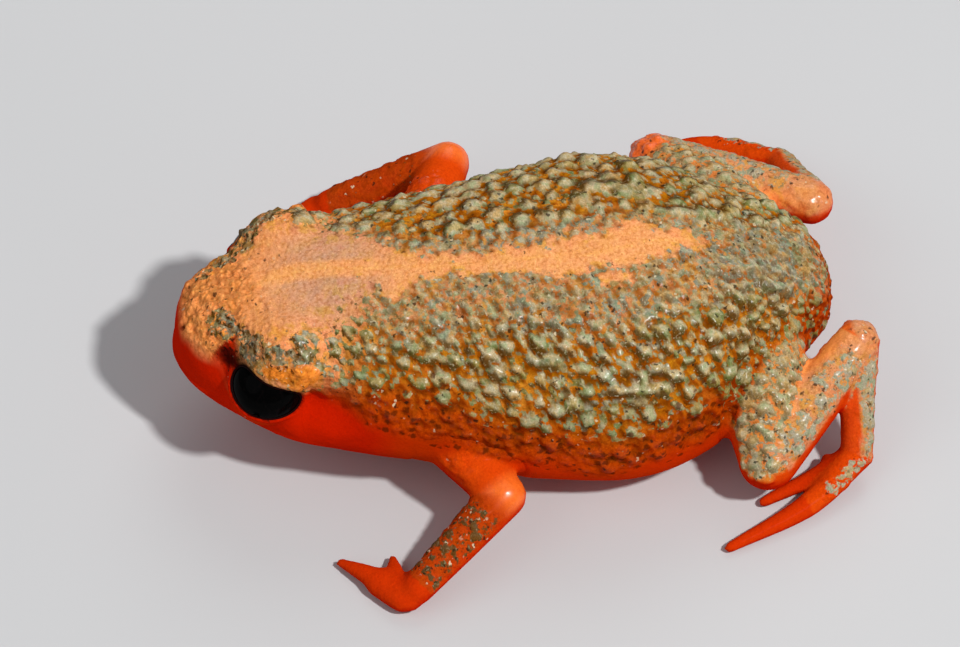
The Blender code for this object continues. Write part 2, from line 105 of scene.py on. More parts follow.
LENGTHS = {
    "upper_arm": (("shoulder", "elbow"), (0.54, 0.46, 0.38)),
    "forearm": (("elbow", "wrist"), (0.38, 0.33, 0.27)),
    "thigh": (("hip", "knee"), (0.78, 0.72, 0.50)),
    "shank": (("knee", "heel"), (0.50, 0.47, 0.38)),
    "tarsus": (("heel", "ankle"), (0.38, 0.30, 0.27)),
}

ENDS = (
    (("wrist", "palm"), (0.28, 0.30, 0.32)),
    (("palm", "finger_3"), (0.25, 0.17, 0.09)),
    (("ankle", "toe_4_bend"), (0.27, 0.24, 0.21)),
    (("toe_4_bend", "toe_4"), (0.21, 0.15, 0.10)),
    (("ankle", "toe_3_bend"), (0.27, 0.22, 0.17)),
    (("toe_3_bend", "toe_3"), (0.17, 0.14, 0.10)),
)
WAYS = (*LENGTHS.values(), *ENDS)
UPPER_ARM, FOREARM, THIGH, SHANK, TARSUS, PALM, FINGER, FOOT, TOE, SHORT_FOOT, SHORT_TOE = range(len(WAYS))

# The hide over head and trunk: rows along the body, the lowest angle of its dense part on each side in
# radians, and how many columns lie over the back and under the belly
HIDE_ROWS = 440
HIDE_LOWEST = -0.75
HIDE_OVER = 200
HIDE_UNDER = 24
HIDE_LIFT = 0.02  # the skin lies this far under the hide
HIDE_SINK = 0.07  # the hide lies this far under the skin at the limbs' roots

# How many places are tried for large and for small warts
LARGE_TRIES = 16000
SMALL_TRIES = 24000

# The point that camera and lights look at, the lights' distance from it in metres, and half the floor
TARGET = (0.0, 5.09, 1.8)
LIGHT_DISTANCE = 0.30
FLOOR_HALF = 0.6
# Lights: name, azimuth and elevation in degrees, width in metres, power in watts
LIGHTS = (
    ("Key", 135.0, 54.0, 0.022, 0.74),
    ("Fill", 20.0, 40.0, 0.30, 0.14),
    ("Back", 250.0, 45.0, 0.20, 0.16),
)

# Head features, left side first; the right side mirrors them
EYE_PLACE = (1.31, 1.55, 2.14)
EYE_RADIUS = 0.64
LID_PLACE = (1.32, 1.76, 2.84)
NOSTRIL_PLACE = (0.40, 0.22, 2.52)
KNOB = (1.66, 2.18, 2.80)


def along_curve(table, place):
    """Rows at place, counted in rows, of the smooth curve through the rows of a table: between two rows it
    is a cubic whose slope at each row is half the step between that row's neighbours."""
    table = np.asarray(table, float)
    padded = np.vstack([2 * table[0] - table[1], table, 2 * table[-1] - table[-2]])
    place = np.asarray(place, float)
    first = np.clip(place.astype(int), 0, len(table) - 2)
    f = (place - first)[..., None]
    p0, p1, p2, p3 = (padded[first + k] for k in range(4))
    return 0.5 * (2 * p1 + (p2 - p0) * f + (2 * p0 - 5 * p1 + 4 * p2 - p3) * f**2
                  + (3 * p1 - p0 - 3 * p2 + p3) * f**3)


def section_profile(samples=1200):
    """The body's sections, closely spaced: distance, half width, rise of the crown, level and drop of the
    belly.

    Each is the smooth curve through the table, mirrored at snout and vent so that both ends are round."""
    table = SECTIONS
    rises = np.column_stack([table[:, 0], table[:, 1], table[:, 2] - table[:, 3], table[:, 3],
                             table[:, 3] - table[:, 4]])
    flip = np.array([1.0, -1.0, -1.0, 1.0, -1.0])
    mirrored = np.vstack([rises[1] * flip, rises, rises[-2] * flip])
    mirrored[0, 0] = rises[1, 0]
    mirrored[-1, 0] = rises[-2, 0]
    dense = along_curve(mirrored, np.linspace(1, len(table), samples))
    dense[[0, -1], 1] = 0.0
    dense[[0, -1], 2] = 0.0
    dense[[0, -1], 4] = 0.0
    return dense


PROFILE = section_profile()


def sections_at(along):
    """Half width, crown rise, level and belly drop at the given distances from the snout."""
    return [np.interp(along, PROFILE[:, 0], PROFILE[:, k]) for k in (1, 2, 3, 4)]


def bend(points):
    """Bend straight body points round the spine's arc: the angle is the distance along over the radius."""
    points = np.asarray(points, float)
    angle = (points[..., 1] - BEND_CENTRE) / BEND_RADIUS
    reach = BEND_RADIUS + points[..., 0]
    return np.stack([reach * np.cos(angle) - BEND_RADIUS, BEND_CENTRE + reach * np.sin(angle),
                     points[..., 2]], axis=-1)


def unbend(points):
    """The straight body's point for each bent one."""
    angle = np.arctan2(points[..., 1] - BEND_CENTRE, points[..., 0] + BEND_RADIUS)
    reach = np.hypot(points[..., 0] + BEND_RADIUS, points[..., 1] - BEND_CENTRE)
    return np.stack([reach - BEND_RADIUS, BEND_CENTRE + angle * BEND_RADIUS, points[..., 2]], axis=-1)


def both_sides(place):
    """A place on the left and its mirror on the right."""
    return place, (-place[0], place[1], place[2])


def smooth_step(value, low, high):
    """0 below low, 1 above high, and 3t^2 - 2t^3 between them."""
    t = np.clip((np.asarray(value, float) - low) / (high - low), 0, 1)
    return t * t * (3 - 2 * t)


def swelling(points, centre, reach):
    """A smooth dome: (1 - (distance / reach)^2)^2 inside the reach and 0 outside it."""
    distance = np.linalg.norm((points - np.asarray(centre, float)) / np.asarray(reach, float), axis=-1)
    return np.clip(1 - distance**2, 0, None) ** 2


def noise(points, size, seed):
    """Value noise from -1 to 1: random numbers on a lattice of the given size, blended by smooth steps."""
    place = points / size
    cell = np.floor(place).astype(np.int64)
    part = place - cell
    part = part * part * (3 - 2 * part)
    total = np.zeros(points.shape[:-1])
    for corner in range(8):
        step = np.array([corner & 1, corner >> 1 & 1, corner >> 2 & 1])
        key = (cell + step) * np.array([73856093, 19349663, 83492791])
        key = (key[..., 0] ^ key[..., 1] ^ key[..., 2] ^ seed * 2654435761) & 0x7FFFFFFF
        key = (key ^ key >> 13) * 1274126177 & 0x7FFFFFFF
        key = (key ^ key >> 16) & 0xFFFF
        weight = np.prod(np.where(step, part, 1 - part), axis=-1)
        total += weight * (key / 32767.5 - 1)
    return total


def closed_grid(points):
    """Vertices and faces of a grid that closes round its columns and to one point at each end."""
    rows, columns = points.shape[:2]
    first, last = points[0].mean(axis=0), points[-1].mean(axis=0)
    vertices = np.vstack([first, points[1:-1].reshape(-1, 3), last])
    ring = 1 + np.arange((rows - 2) * columns).reshape(rows - 2, columns)
    turned = np.roll(ring, -1, axis=1)
    quads = np.stack([ring[:-1], turned[:-1], turned[1:], ring[1:]], axis=-1).reshape(-1, 4)
    end = len(vertices) - 1
    fan = np.column_stack([np.zeros(columns, int), turned[0], ring[0]])
    cap = np.column_stack([ring[-1], turned[-1], np.full(columns, end)])
    return vertices, quads[:, ::-1], np.vstack([fan, cap])


def body_grid(start, end, rows, angles):
    """Points of the plain straight body: superellipse sections at rows evenly spaced along its outline.

    At angle a, x is the half width times cos(a)^(2/n) and z is the level plus the rise, or less the drop,
    times sin(a)^(2/n), where n is the squareness of crown or belly."""
    steps = np.hypot(np.diff(PROFILE[:, 0]), np.diff(PROFILE[:, 1]) + np.diff(PROFILE[:, 2]))
    run = np.concatenate([[0], np.cumsum(steps)])
    limits = np.interp((start, end), PROFILE[:, 0], run)
    along = np.interp(np.linspace(*limits, rows), run, PROFILE[:, 0])
    half, rise, level, drop = sections_at(along)
    cos, sin = np.cos(angles), np.sin(angles)
    power = 2 / np.where(sin >= 0, CROWN_SQUARENESS, BELLY_SQUARENESS)
    wide = np.sign(cos) * np.abs(cos) ** power
    tall = np.sign(sin) * np.abs(sin) ** power
    x = half[:, None] * wide
    z = level[:, None] + np.where(sin >= 0, rise[:, None], drop[:, None]) * tall
    y = np.broadcast_to(along[:, None], x.shape)
    return np.stack([x, y, z], axis=-1)


def body_shell():
    """The whole plain body, bent, as one closed shell."""
    angles = np.linspace(-math.pi, math.pi, 240, endpoint=False)
    return closed_grid(bend(body_grid(0.0, PROFILE[-1, 0], 300, angles)))


def dense_angles(lowest, dense, sparse):
    """Angles round a section: the given number evenly over the back, down to lowest on each side, and a
    few under the belly. Over the back they are spaced by arc length on a section of the middle."""
    fine = np.linspace(lowest, math.pi - lowest, 3000)
    power = 2 / CROWN_SQUARENESS
    x = 2.7 * np.sign(np.cos(fine)) * np.abs(np.cos(fine)) ** power
    z = 2.2 * np.sign(np.sin(fine)) * np.abs(np.sin(fine)) ** power
    run = np.concatenate([[0], np.cumsum(np.hypot(np.diff(x), np.diff(z)))])
    over = np.interp(np.linspace(0, run[-1], dense), run, fine)
    under = np.linspace(math.pi - lowest, 2 * math.pi + lowest, sparse + 2)[1:-1]
    return np.concatenate([over, under])


def grid_normals(points):
    """Outward unit normals of a grid that closes round its columns: the cross of its two directions."""
    across = np.roll(points, -1, axis=1) - np.roll(points, 1, axis=1)
    down = np.gradient(points, axis=0)
    normal = np.cross(down, across)
    return normal / np.maximum(np.linalg.norm(normal, axis=-1, keepdims=True), 1e-9)


def tube(path, radii, sides=28, spacing=0.06, flatten=1.0):
    """A limb: circles of radius r(t) carried along a smooth path, with half spheres at its ends."""
    path = np.asarray(path, float)
    fine = np.linspace(0, len(path) - 1, 200)
    line = along_curve(path, fine) if len(path) > 2 else path[0] + (path[1] - path[0]) * fine[:, None]
    places = np.linspace(0, len(path) - 1, len(radii))
    width = np.interp(fine, places, radii)
    run = np.concatenate([[0], np.cumsum(np.linalg.norm(np.diff(line, axis=0), axis=1))])
    wanted = np.linspace(0, run[-1], max(4, int(run[-1] / spacing) + 1))
    centres = np.column_stack([np.interp(wanted, run, line[:, k]) for k in range(3)])
    size = np.interp(wanted, run, width)
    tangents = np.gradient(centres, axis=0)
    tangents /= np.linalg.norm(tangents, axis=1, keepdims=True)
    turn = np.linspace(0, math.pi / 2, 9)[:-1]
    start = centres[0] - tangents[0] * (size[0] * np.cos(turn))[:, None]
    end = centres[-1] + tangents[-1] * (size[-1] * np.cos(turn[::-1]))[:, None]
    centres = np.vstack([start, centres, end])
    tangents = np.vstack([np.repeat(tangents[:1], 8, 0), tangents, np.repeat(tangents[-1:], 8, 0)])
    size = np.concatenate([size[0] * np.sin(turn), size, size[-1] * np.sin(turn[::-1])])
    side = np.cross(tangents, [0.0, 0.0, 1.0])
    side /= np.linalg.norm(side, axis=1, keepdims=True)
    up = np.cross(side, tangents)
    angles = np.linspace(0, 2 * math.pi, sides, endpoint=False)
    ring = (side[:, None, :] * np.cos(angles)[None, :, None]
            - up[:, None, :] * np.sin(angles)[None, :, None] * flatten)
    points = centres[:, None, :] + ring * size[:, None, None]
    vertices, quads, triangles = closed_grid(points)
    return vertices, quads[:, ::-1], triangles[:, ::-1]


def limb_shells(at):
    """Every length of the limbs of one side, with hand, fingers, foot and toes."""
    at = {name: np.array(place) for name, place in at.items()}
    shells = []
    for ends, radii in LENGTHS.values():
        shells.append(tube([at[ends[0]], at[ends[1]]], radii))
    wrist, palm, tip = at["wrist"], at["palm"], at["finger_3"]
    outward = (palm - tip) * (1, 1, 0)
    heel = palm + outward * 0.12
    shells.append(tube([wrist, (wrist + heel) / 2, heel, palm + (tip - palm) * 0.3],
                       (0.27, 0.29, 0.34, 0.28), flatten=0.75))
    for key, root in (("finger_3", 0.22), ("finger_2", 0.18)):
        middle = palm + (at[key] - palm) * 0.5 + np.array([0, 0, 0.03])
        shells.append(tube([palm, middle, at[key]], (root, root * 0.85, 0.09), flatten=0.85))
    across = at["finger_2"] - palm
    for place in (wrist + across * 0.45, palm - across * 0.36):
        shells.append(tube([palm, place], (0.12, 0.12)))
    ankle = at["ankle"]
    for key, root in (("toe_4", 0.21), ("toe_3", 0.17)):
        shells.append(tube([ankle, at[key + "_bend"], at[key]], (0.27, root, 0.10), flatten=0.9))
    bend_place = at["toe_4_bend"]
    across = bend_place - at["toe_3_bend"]
    bumps = (bend_place + across * 0.28 + (ankle - bend_place) * 0.25,
             bend_place - across * 1.3 + (ankle - bend_place) * 0.15)
    roots = ((ankle + bend_place) / 2, (ankle + at["toe_3_bend"]) / 2)
    for root, place in zip(roots, bumps):
        shells.append(tube([root, place], (0.12, 0.12)))
    return shells


def mesh_from(name, vertices, *face_groups):
    """A Blender mesh from an array of vertices and arrays of faces."""
    mesh = bpy.data.meshes.new(name)
    faces = [tuple(face) for group in face_groups for face in group.tolist()]
    mesh.from_pydata(vertices.tolist(), [], faces)
    mesh.update()
    return mesh


def linked(name, mesh):
    """An object of the mesh, at the origin and in the scene."""
    made = bpy.data.objects.new(name, mesh)
    bpy.context.scene.collection.objects.link(made)
    return made


def fused(shells, voxel):
    """One closed surface round all the shells: Blender's voxel remesh of them, as a new mesh."""
    vertices, quads, triangles = [], [], []
    start = 0
    for points, squares, corners in shells:
        points = points.copy()
        points[:, 2] = np.maximum(points[:, 2], 0.0)
        vertices.append(points)
        quads.append(squares + start)
        triangles.append(corners + start)
        start += len(points)
    mesh = mesh_from("shells", np.vstack(vertices), np.vstack(quads), np.vstack(triangles))
    holder = linked("shells", mesh)
    remesh = holder.modifiers.new("Fuse", "REMESH")
    remesh.mode = "VOXEL"
    remesh.voxel_size = voxel
    bpy.context.view_layer.update()
    evaluated = holder.evaluated_get(bpy.context.evaluated_depsgraph_get())
    result = bpy.data.meshes.new_from_object(evaluated)
    bpy.data.objects.remove(holder)
    return result


def read_mesh(mesh):
    """Points, edges and faces of a mesh of quads as arrays."""
    points = np.empty(len(mesh.vertices) * 3)
    mesh.vertices.foreach_get("co", points)
    edges = np.empty(len(mesh.edges) * 2, np.int32)
    mesh.edges.foreach_get("vertices", edges)
    corners = np.empty(len(mesh.loops), np.int32)
    mesh.loops.foreach_get("vertex_index", corners)
    if len(corners) != 4 * len(mesh.polygons):
        raise RuntimeError("the fused skin has faces that are not quads")
    return points.reshape(-1, 3), edges.reshape(-1, 2), corners.reshape(-1, 4)


def relaxed(points, edges, weight, rounds):
    """Move each point towards the mean of its neighbours by its weight, then back by a little less."""
    a, b = edges[:, 0], edges[:, 1]
    count = len(points)
    links = np.bincount(a, minlength=count) + np.bincount(b, minlength=count)
    for turn in range(rounds * 2):
        total = np.column_stack([
            np.bincount(a, points[b, k], count) + np.bincount(b, points[a, k], count) for k in range(3)])
        step = total / links[:, None] - points
        share = 0.55 if turn % 2 == 0 else -0.35
        points = points + step * share * weight[:, None]
    return points


def point_normals(points, faces):
    """Outward unit normals: each face's crossed diagonals, summed at its corners."""
    across = points[faces[:, 2]] - points[faces[:, 0]]
    other = points[faces[:, 3]] - points[faces[:, 1]]
    facing = np.cross(across, other)
    count = len(points)
    total = np.zeros((count, 3))
    for k in range(3):
        for corner in range(4):
            total[:, k] += np.bincount(faces[:, corner], facing[:, k], count)
    return total / np.maximum(np.linalg.norm(total, axis=1, keepdims=True), 1e-12)


def to_segment(points, start, end):
    """Distance from each point to a straight length, and how far along it the nearest place is."""
    way = end - start
    share = np.clip((points - start) @ way / (way @ way), 0, 1)
    return np.linalg.norm(points - start - share[:, None] * way, axis=1), share


def body_distance(straight):
    """How far each point lies outside the plain body, from its superellipse section."""
    half, rise, level, drop = sections_at(straight[:, 1])
    up = straight[:, 2] - level
    tall = np.where(up >= 0, rise, drop)
    power = np.where(up >= 0, CROWN_SQUARENESS, BELLY_SQUARENESS)
    wide = np.abs(straight[:, 0]) / np.maximum(half, 0.05)
    ratio = (wide**power + (np.abs(up) / np.maximum(tall, 0.05)) ** power) ** (1 / power)
    reach = np.hypot(straight[:, 0], up)
    beyond = np.maximum(straight[:, 1] - SECTIONS[-1, 0], 0) + np.maximum(-straight[:, 1], 0)
    return reach * (1 - 1 / np.maximum(ratio, 0.2)) + beyond


def limb_distance(points):
    """How far each point lies outside the nearest limb, which side's and which length that is, the share
    of the way along it, and how far to the front of it, counted in its radius."""
    best = np.full(len(points), 9.0)
    which = np.zeros(len(points), int)
    share_along = np.zeros(len(points))
    front = np.zeros(len(points))
    for side, joints in enumerate(JOINTS):
        for code, ((first, last), radii) in enumerate(WAYS, side * len(WAYS)):
            start, end = np.array(joints[first]), np.array(joints[last])
            distance, share = to_segment(points, start, end)
            radius = np.interp(share, (0, 0.5, 1), radii)
            outside = distance - radius
            nearer = outside < best
            best = np.where(nearer, outside, best)
            which = np.where(nearer, code, which)
            share_along = np.where(nearer, share, share_along)
            ahead = start[1] + share * (end - start)[1] - points[:, 1]
            front = np.where(nearer, ahead / radius, front)
    return best, which, share_along, front


def way_of(masks):
    """Which of the ways each point belongs to, on either side."""
    return masks["which"] % len(WAYS)


def on_right(masks):
    """Where a point's nearest limb is a right one."""
    return masks["which"] >= len(WAYS)


# The stripe down the back: distance from snout, its middle, its half width
STRIPE = np.array((
    (0.9, 0.05, 0.10), (1.4, -0.05, 0.22), (2.1, -0.15, 0.55), (2.9, -0.05, 0.60), (3.4, 0.02, 0.48),
    (3.9, 0.12, 0.36), (4.4, 0.19, 0.25), (5.1, 0.21, 0.20), (5.7, 0.24, 0.25), (6.4, 0.30, 0.38),
    (7.1, 0.34, 0.48), (7.8, 0.22, 0.40), (8.3, 0.21, 0.24), (8.8, 0.20, 0.10), (9.3, 0.18, 0.0),
    (10.4, 0.10, 0.0),
))
# Where the red of the underside begins: distance from snout, height
RED_LINE = np.array((
    (0.0, 2.52), (0.5, 2.45), (1.0, 2.20), (1.6, 1.95), (2.2, 2.15), (2.6, 2.42), (3.3, 2.26), (4.0, 2.06),
    (4.8, 1.72), (5.7, 1.54), (6.6, 1.38), (7.5, 1.42), (8.3, 1.54), (9.2, 1.50), (11.0, 1.45),
))
# The line of the mouth: distance from snout, height
MOUTH_LINE = np.array(((0.0, 1.70), (0.1, 1.72), (0.4, 1.62), (1.05, 1.47), (2.0, 1.32), (2.8, 1.20)))
# The speckled band before and over each eye: centres and reaches
BAND = (
    ((0.58, 0.80, 2.90), (0.36, 0.36, 0.45)), ((0.95, 1.08, 2.88), (0.38, 0.38, 0.45)),
    ((1.20, 1.42, 2.88), (0.38, 0.38, 0.40)), ((1.40, 1.72, 2.86), (0.34, 0.38, 0.40)),
    ((1.48, 1.98, 2.88), (0.30, 0.34, 0.35)),
    ((-0.48, 0.50, 2.84), (0.22, 0.26, 0.40)), ((-0.78, 0.86, 2.86), (0.36, 0.38, 0.50)),
    ((-1.05, 1.20, 2.88), (0.48, 0.48, 0.55)), ((-1.36, 1.62, 2.90), (0.44, 0.60, 0.45)),
    ((-1.50, 2.10, 2.96), (0.36, 0.50, 0.40)),
)


def regions(points, straight=None):
    """Masks over the skin, each from 0 to 1, from the place of every point on the body and limbs."""
    if straight is None:
        straight = unbend(points)
    x, y, z = straight.T
    body = body_distance(straight)
    limb, which, share, front = limb_distance(points)
    masks = {"straight": straight, "body": body, "limb_gap": limb, "which": which, "share": share,
             "front": front}
    masks["limb"] = smooth_step(body - limb, -0.02, 0.16)
    wobble = noise(straight, 0.55, 3) * 0.5 + noise(straight, 0.24, 4) * 0.35
    middle = np.interp(y, STRIPE[:, 0], STRIPE[:, 1])
    width = np.interp(y, STRIPE[:, 0], STRIPE[:, 2])
    offset = np.abs(x - middle) / np.maximum(width, 0.02)
    high = smooth_step(z, 2.2, 2.6)
    edge = wobble + 0.9 * noise(straight, 0.14, 5) + 0.5 * noise(straight, 0.08, 6)
    masks["stripe"] = smooth_step(1.12 - offset + 0.65 * edge, 0.0, 0.30) * high
    beyond = np.abs(x - middle) - width
    masks["beside"] = 1 - np.where(x > middle, smooth_step(beyond, 0.55, 1.30),
                                   smooth_step(beyond, 0.10, 0.55))
    masks["stripe"] *= smooth_step(y, 1.2, 1.6) * (1 - smooth_step(y, 8.4, 9.2))
    masks["clear"] = smooth_step(1.25 - offset + 0.7 * edge, 0.0, 0.8) * high
    masks["clear"] *= 1 - smooth_step(y, 8.3, 9.2)
    red = np.interp(y, RED_LINE[:, 0], RED_LINE[:, 1])
    head = 1 - smooth_step(y, 2.6, 4.2)
    masks["under"] = smooth_step(red - z + 0.30 * wobble, -0.30, 0.50 - 0.28 * head)
    masks["low"] = smooth_step(red - z + 0.25 * wobble, -1.25 + 0.60 * head, -0.35 + 0.35 * head)
    masks["snout"] = (1 - smooth_step(y + 0.35 * np.abs(x - 0.1) + 0.15 * wobble, 1.15, 1.55))
    masks["crown"] = swelling(straight, (0.0, 2.55, 3.4), (1.35, 1.25, 0.9)) ** 0.5
    masks["wobble"] = wobble
    band = np.zeros(len(points))
    for centre, reach in BAND:
        band = np.maximum(band, swelling(straight, centre, reach))
    masks["band"] = smooth_step(band + 0.12 * wobble, 0.05, 0.35)
    return masks


def scatter(points, density, spacing, rng, tries):
    """Seeded choice of points. One is kept if its luck is within the density and no kept one lies within
    its spacing."""
    order = rng.permutation(np.flatnonzero(density > 0.2))[:tries]
    chance = rng.random(len(order))
    kept, places = [], np.full((len(order), 3), 99.0)
    for place, luck in zip(order, chance):
        if luck > density[place]:
            continue
        away = places[:len(kept)] - points[place]
        if len(kept) and np.min(np.einsum("ij,ij->i", away, away)) < spacing[place] ** 2:
            continue
        places[len(kept)] = points[place]
        kept.append(place)
    return np.array(kept)


def scatter_warts(points, masks, seed):
    """Seeded warts in two layers, large and small: centre, radius, height, length, stretch, lean and tone.

    Beside the stripe they are small, low and close. Down the flank they are higher, and on the right side
    larger and rounder."""
    rng = np.random.default_rng(seed)
    x, y = masks["straight"].T[:2]
    limb, top = masks["limb"], masks["limb_top"]
    nape = smooth_step(y + 0.60 * np.abs(x), 3.15, 4.10)
    temple = smooth_step(np.abs(x), 0.95, 1.35) * smooth_step(y, 1.9, 2.5)
    free = np.maximum(nape, temple) * (1 - 0.60 * masks["low"]) * (1 - masks["under"])
    free *= 1 - 0.95 * masks["stripe"]
    far = smooth_step(-x, 0.3, 0.9)
    beside = masks["beside"]
    rump = smooth_step(y, 8.4, 9.4)
    thigh = (way_of(masks) == THIGH) * 1.0
    layers = []
    for large in (True, False):
        if large:
            spacing = 0.275 - 0.08 * beside + 0.055 * far + 0.05 * masks["low"]
            radius = 0.130 - 0.032 * beside + 0.045 * far
            height = 0.62 - 0.38 * beside + 0.06 * rump - 0.30 * masks["low"] - 0.20 * far
            on_limb = 0.24 - 0.03 * thigh, 0.105 + 0.005 * thigh, 0.24 + 0.22 * thigh
        else:
            spacing = np.full(len(points), 0.125)
            radius = np.full(len(points), 0.062)
            height = 0.32 + 0.1 * rump - 0.15 * masks["low"]
            on_limb = 0.15, 0.060, 0.36
        spacing, radius, height = (value * (1 - limb) + other * limb
                                   for value, other in zip((spacing, radius, height), on_limb))
        tries = LARGE_TRIES if large else SMALL_TRIES
        kept = scatter(points, free * (1 - limb) + top * limb, spacing, rng, tries)
        count = len(kept)
        size = rng.uniform(0.72, 1.30, count)
        side = np.where(x[kept] > 0, 1, -1)
        way = np.column_stack([rng.uniform(-0.8, 1.2, count) * side, np.ones(count),
                               rng.uniform(-0.5, 0.3, count)])
        lean = np.column_stack([0.5 * side, np.full(count, -0.2), np.full(count, -0.35)])
        layers.append({
            "centre": points[kept],
            "radius": radius[kept] * size,
            "height": radius[kept] * size * height[kept] * rng.uniform(0.7, 1.25, count),
            "way": way / np.linalg.norm(way, axis=1, keepdims=True),
            "stretch": rng.uniform(0.0, 0.6, count) * (1 - 0.5 * far[kept]),
            "lean": (lean + rng.uniform(-0.4, 0.4, (count, 3))) * (0.5 - 0.3 * far[kept])[:, None],
            "tone": rng.random(count),
        })
    return {name: np.concatenate([layer[name] for layer in layers]) for name in layers[0]}


def wart_relief(points, warts):
    """Height of the highest wart over each point, its profile from 0 to 1, and its tone.

    A wart's profile is (1 - d^2 / R^2)^0.8 * (1 + lean), where d is shortened along the wart's own length
    and the lean, in radii, raises the side that faces out and forward."""
    count = len(points)
    lift, profile, tone = np.zeros(count), np.zeros(count), np.full(count, 0.5)
    centre, way = warts["centre"], warts["way"]
    order = np.argsort(centre[:, 1])
    along = centre[order, 1]
    rows = np.argsort(points[:, 1])
    for start in range(0, count, 3000):
        rows_here = rows[start:start + 3000]
        here = points[rows_here]
        low, high = np.searchsorted(along, (here[:, 1].min() - 0.5, here[:, 1].max() + 0.5))
        near = order[low:high]
        if len(near) == 0:
            continue
        apart = here[:, None, :] - centre[None, near]
        squared = np.einsum("ijk,ijk->ij", apart, apart)
        lengthways = np.einsum("ijk,jk->ij", apart, way[near])
        squared -= warts["stretch"][near] * lengthways**2
        shape = np.clip(1 - squared / warts["radius"][near] ** 2, 0, None) ** 0.8
        leaning = np.einsum("ijk,jk->ij", apart, warts["lean"][near]) / warts["radius"][near]
        raised = shape * warts["height"][near] * np.clip(1 + leaning, 0.3, 1.7)
        best = raised.argmax(axis=1)
        pick = np.arange(len(here))
        lift[rows_here] = raised[pick, best]
        profile[rows_here] = shape[pick, best]
        tone[rows_here] = warts["tone"][near][best]
    return lift, profile, tone


def eye_frame(place):
    """Centre of an eye and its own directions: outward, forward and up, all in the bent body."""
    side = 1.0 if place[0] > 0 else -1.0
    centre = bend(np.array(place))
    ahead = bend(np.array(place) + (-0.30 * side, -1.0, 0.0)) - centre
    ahead /= np.linalg.norm(ahead)
    up = np.array([0.0, 0.0, 1.0])
    outward = np.cross(up, ahead)
    outward *= np.sign(outward[0]) * side
    return centre, outward, ahead, up


# The opening between the lids of the left and right eye, in degrees round the eyeball: its middle, fore and
# up, its half size the same ways, and how much its middle rises for each degree forward
OPENINGS = ((2.0, 27.0, 76.0, 31.0, 0.21), (-2.0, 22.0, 66.0, 31.0, 0.12))


def lid_curve(place, opening, samples):
    """The rim of the lids: an oval in the two angles round the eyeball."""
    centre, outward, ahead, up = eye_frame(place)
    turn = np.linspace(0, 2 * math.pi, samples, endpoint=False)
    middle_fore, middle_rise, half_fore, half_rise, tilt = opening
    fore = half_fore * np.cos(turn)
    rise = np.radians(middle_rise + tilt * fore + half_rise * np.sin(turn))
    fore = np.radians(middle_fore + fore)
    flat = np.cos(rise)[:, None] * (outward * np.cos(fore)[:, None] + ahead * np.sin(fore)[:, None])
    return centre, flat + up * np.sin(rise)[:, None]


def lid_oval(direction, place, opening):
    """How far up each direction from the eye's centre lies, counted from the middle of the opening in its
    half height, and f, the oval's own equation in the two angles: below 1 inside the opening, above 1
    outside it."""
    _, outward, ahead, up = eye_frame(place)
    middle_fore, middle_rise, half_fore, half_rise, tilt = opening
    fore = np.degrees(np.arctan2(direction @ ahead, direction @ outward)) - middle_fore
    rise = np.degrees(np.arcsin(np.clip(direction @ up, -1, 1))) - middle_rise - tilt * fore
    return rise / half_rise, np.hypot(fore / half_fore, rise / half_rise)


def open_eyes(points):
    """Sink the skin inside each lid opening, and keep it just clear of the eyeball round the opening."""
    for place, opening in zip(both_sides(EYE_PLACE), OPENINGS):
        centre, outward, _, _ = eye_frame(place)
        away = points - centre
        reach = np.linalg.norm(away, axis=1)
        near = reach < EYE_RADIUS * 2.2
        old = reach[near]
        direction = away[near] / np.maximum(old[:, None], 1e-9)
        rise, f = lid_oval(direction, place, opening)
        close = smooth_step(old, EYE_RADIUS * 2.15, EYE_RADIUS * 1.60)
        brow = smooth_step(rise, 0.2, 1.0)
        clear = EYE_RADIUS + 0.03 + 0.025 * np.exp(-(((f - 1.15) / 0.12) ** 2))
        clear += 0.15 * brow * np.exp(-(((f - 1.42) / 0.22) ** 2))
        outside = np.maximum(old, clear)
        hug = smooth_step(f, 1.9, 1.05) * smooth_step(direction @ outward, -0.20, 0.20) * close
        outside = outside * (1 - 0.75 * hug) + clear * 0.75 * hug
        inside = EYE_RADIUS - 0.16
        open_share = smooth_step(f, 1.06, 0.90) * close
        new = outside * (1 - open_share) + np.minimum(old, inside) * open_share
        points[near] = centre + direction * new[:, None]
    return points


def groove(points, path, width):
    """Weight of a crease along a path: 1 on it, falling off as a bell of the given width."""
    path = bend(np.asarray(path, float))
    nearest = np.full(len(points), 9.0)
    for start, end in zip(path[:-1], path[1:]):
        nearest = np.minimum(nearest, to_segment(points, start, end)[0])
    return np.exp(-((nearest / width) ** 2))


# Creases of the skin: path in the straight body, width, depth
CREASES = (
    (((1.62, 9.40, 2.61), (1.93, 9.17, 2.40), (2.23, 8.97, 2.17), (2.48, 8.80, 1.99), (2.50, 8.72, 1.50)),
     0.10, 0.13),
    (((-1.50, 8.60, 2.90), (-1.45, 9.30, 2.80), (-1.20, 9.90, 2.55)), 0.10, 0.10),
)
# Long glands: start, end, radius, height
RIDGES = (
    ((2.52, 6.95, 2.80), (2.54, 7.70, 2.70), 0.13, 0.10),
    ((0.95, 9.65, 2.92), (1.05, 10.05, 2.74), 0.14, 0.11),
    ((-1.15, 7.15, 3.62), (-0.95, 7.95, 3.62), 0.30, 0.08),
    ((-0.45, 8.2, 3.62), (-0.35, 9.4, 3.25), 0.13, 0.06),
    ((0.75, 8.9, 3.3), (0.70, 9.5, 3.05), 0.14, 0.08),
)


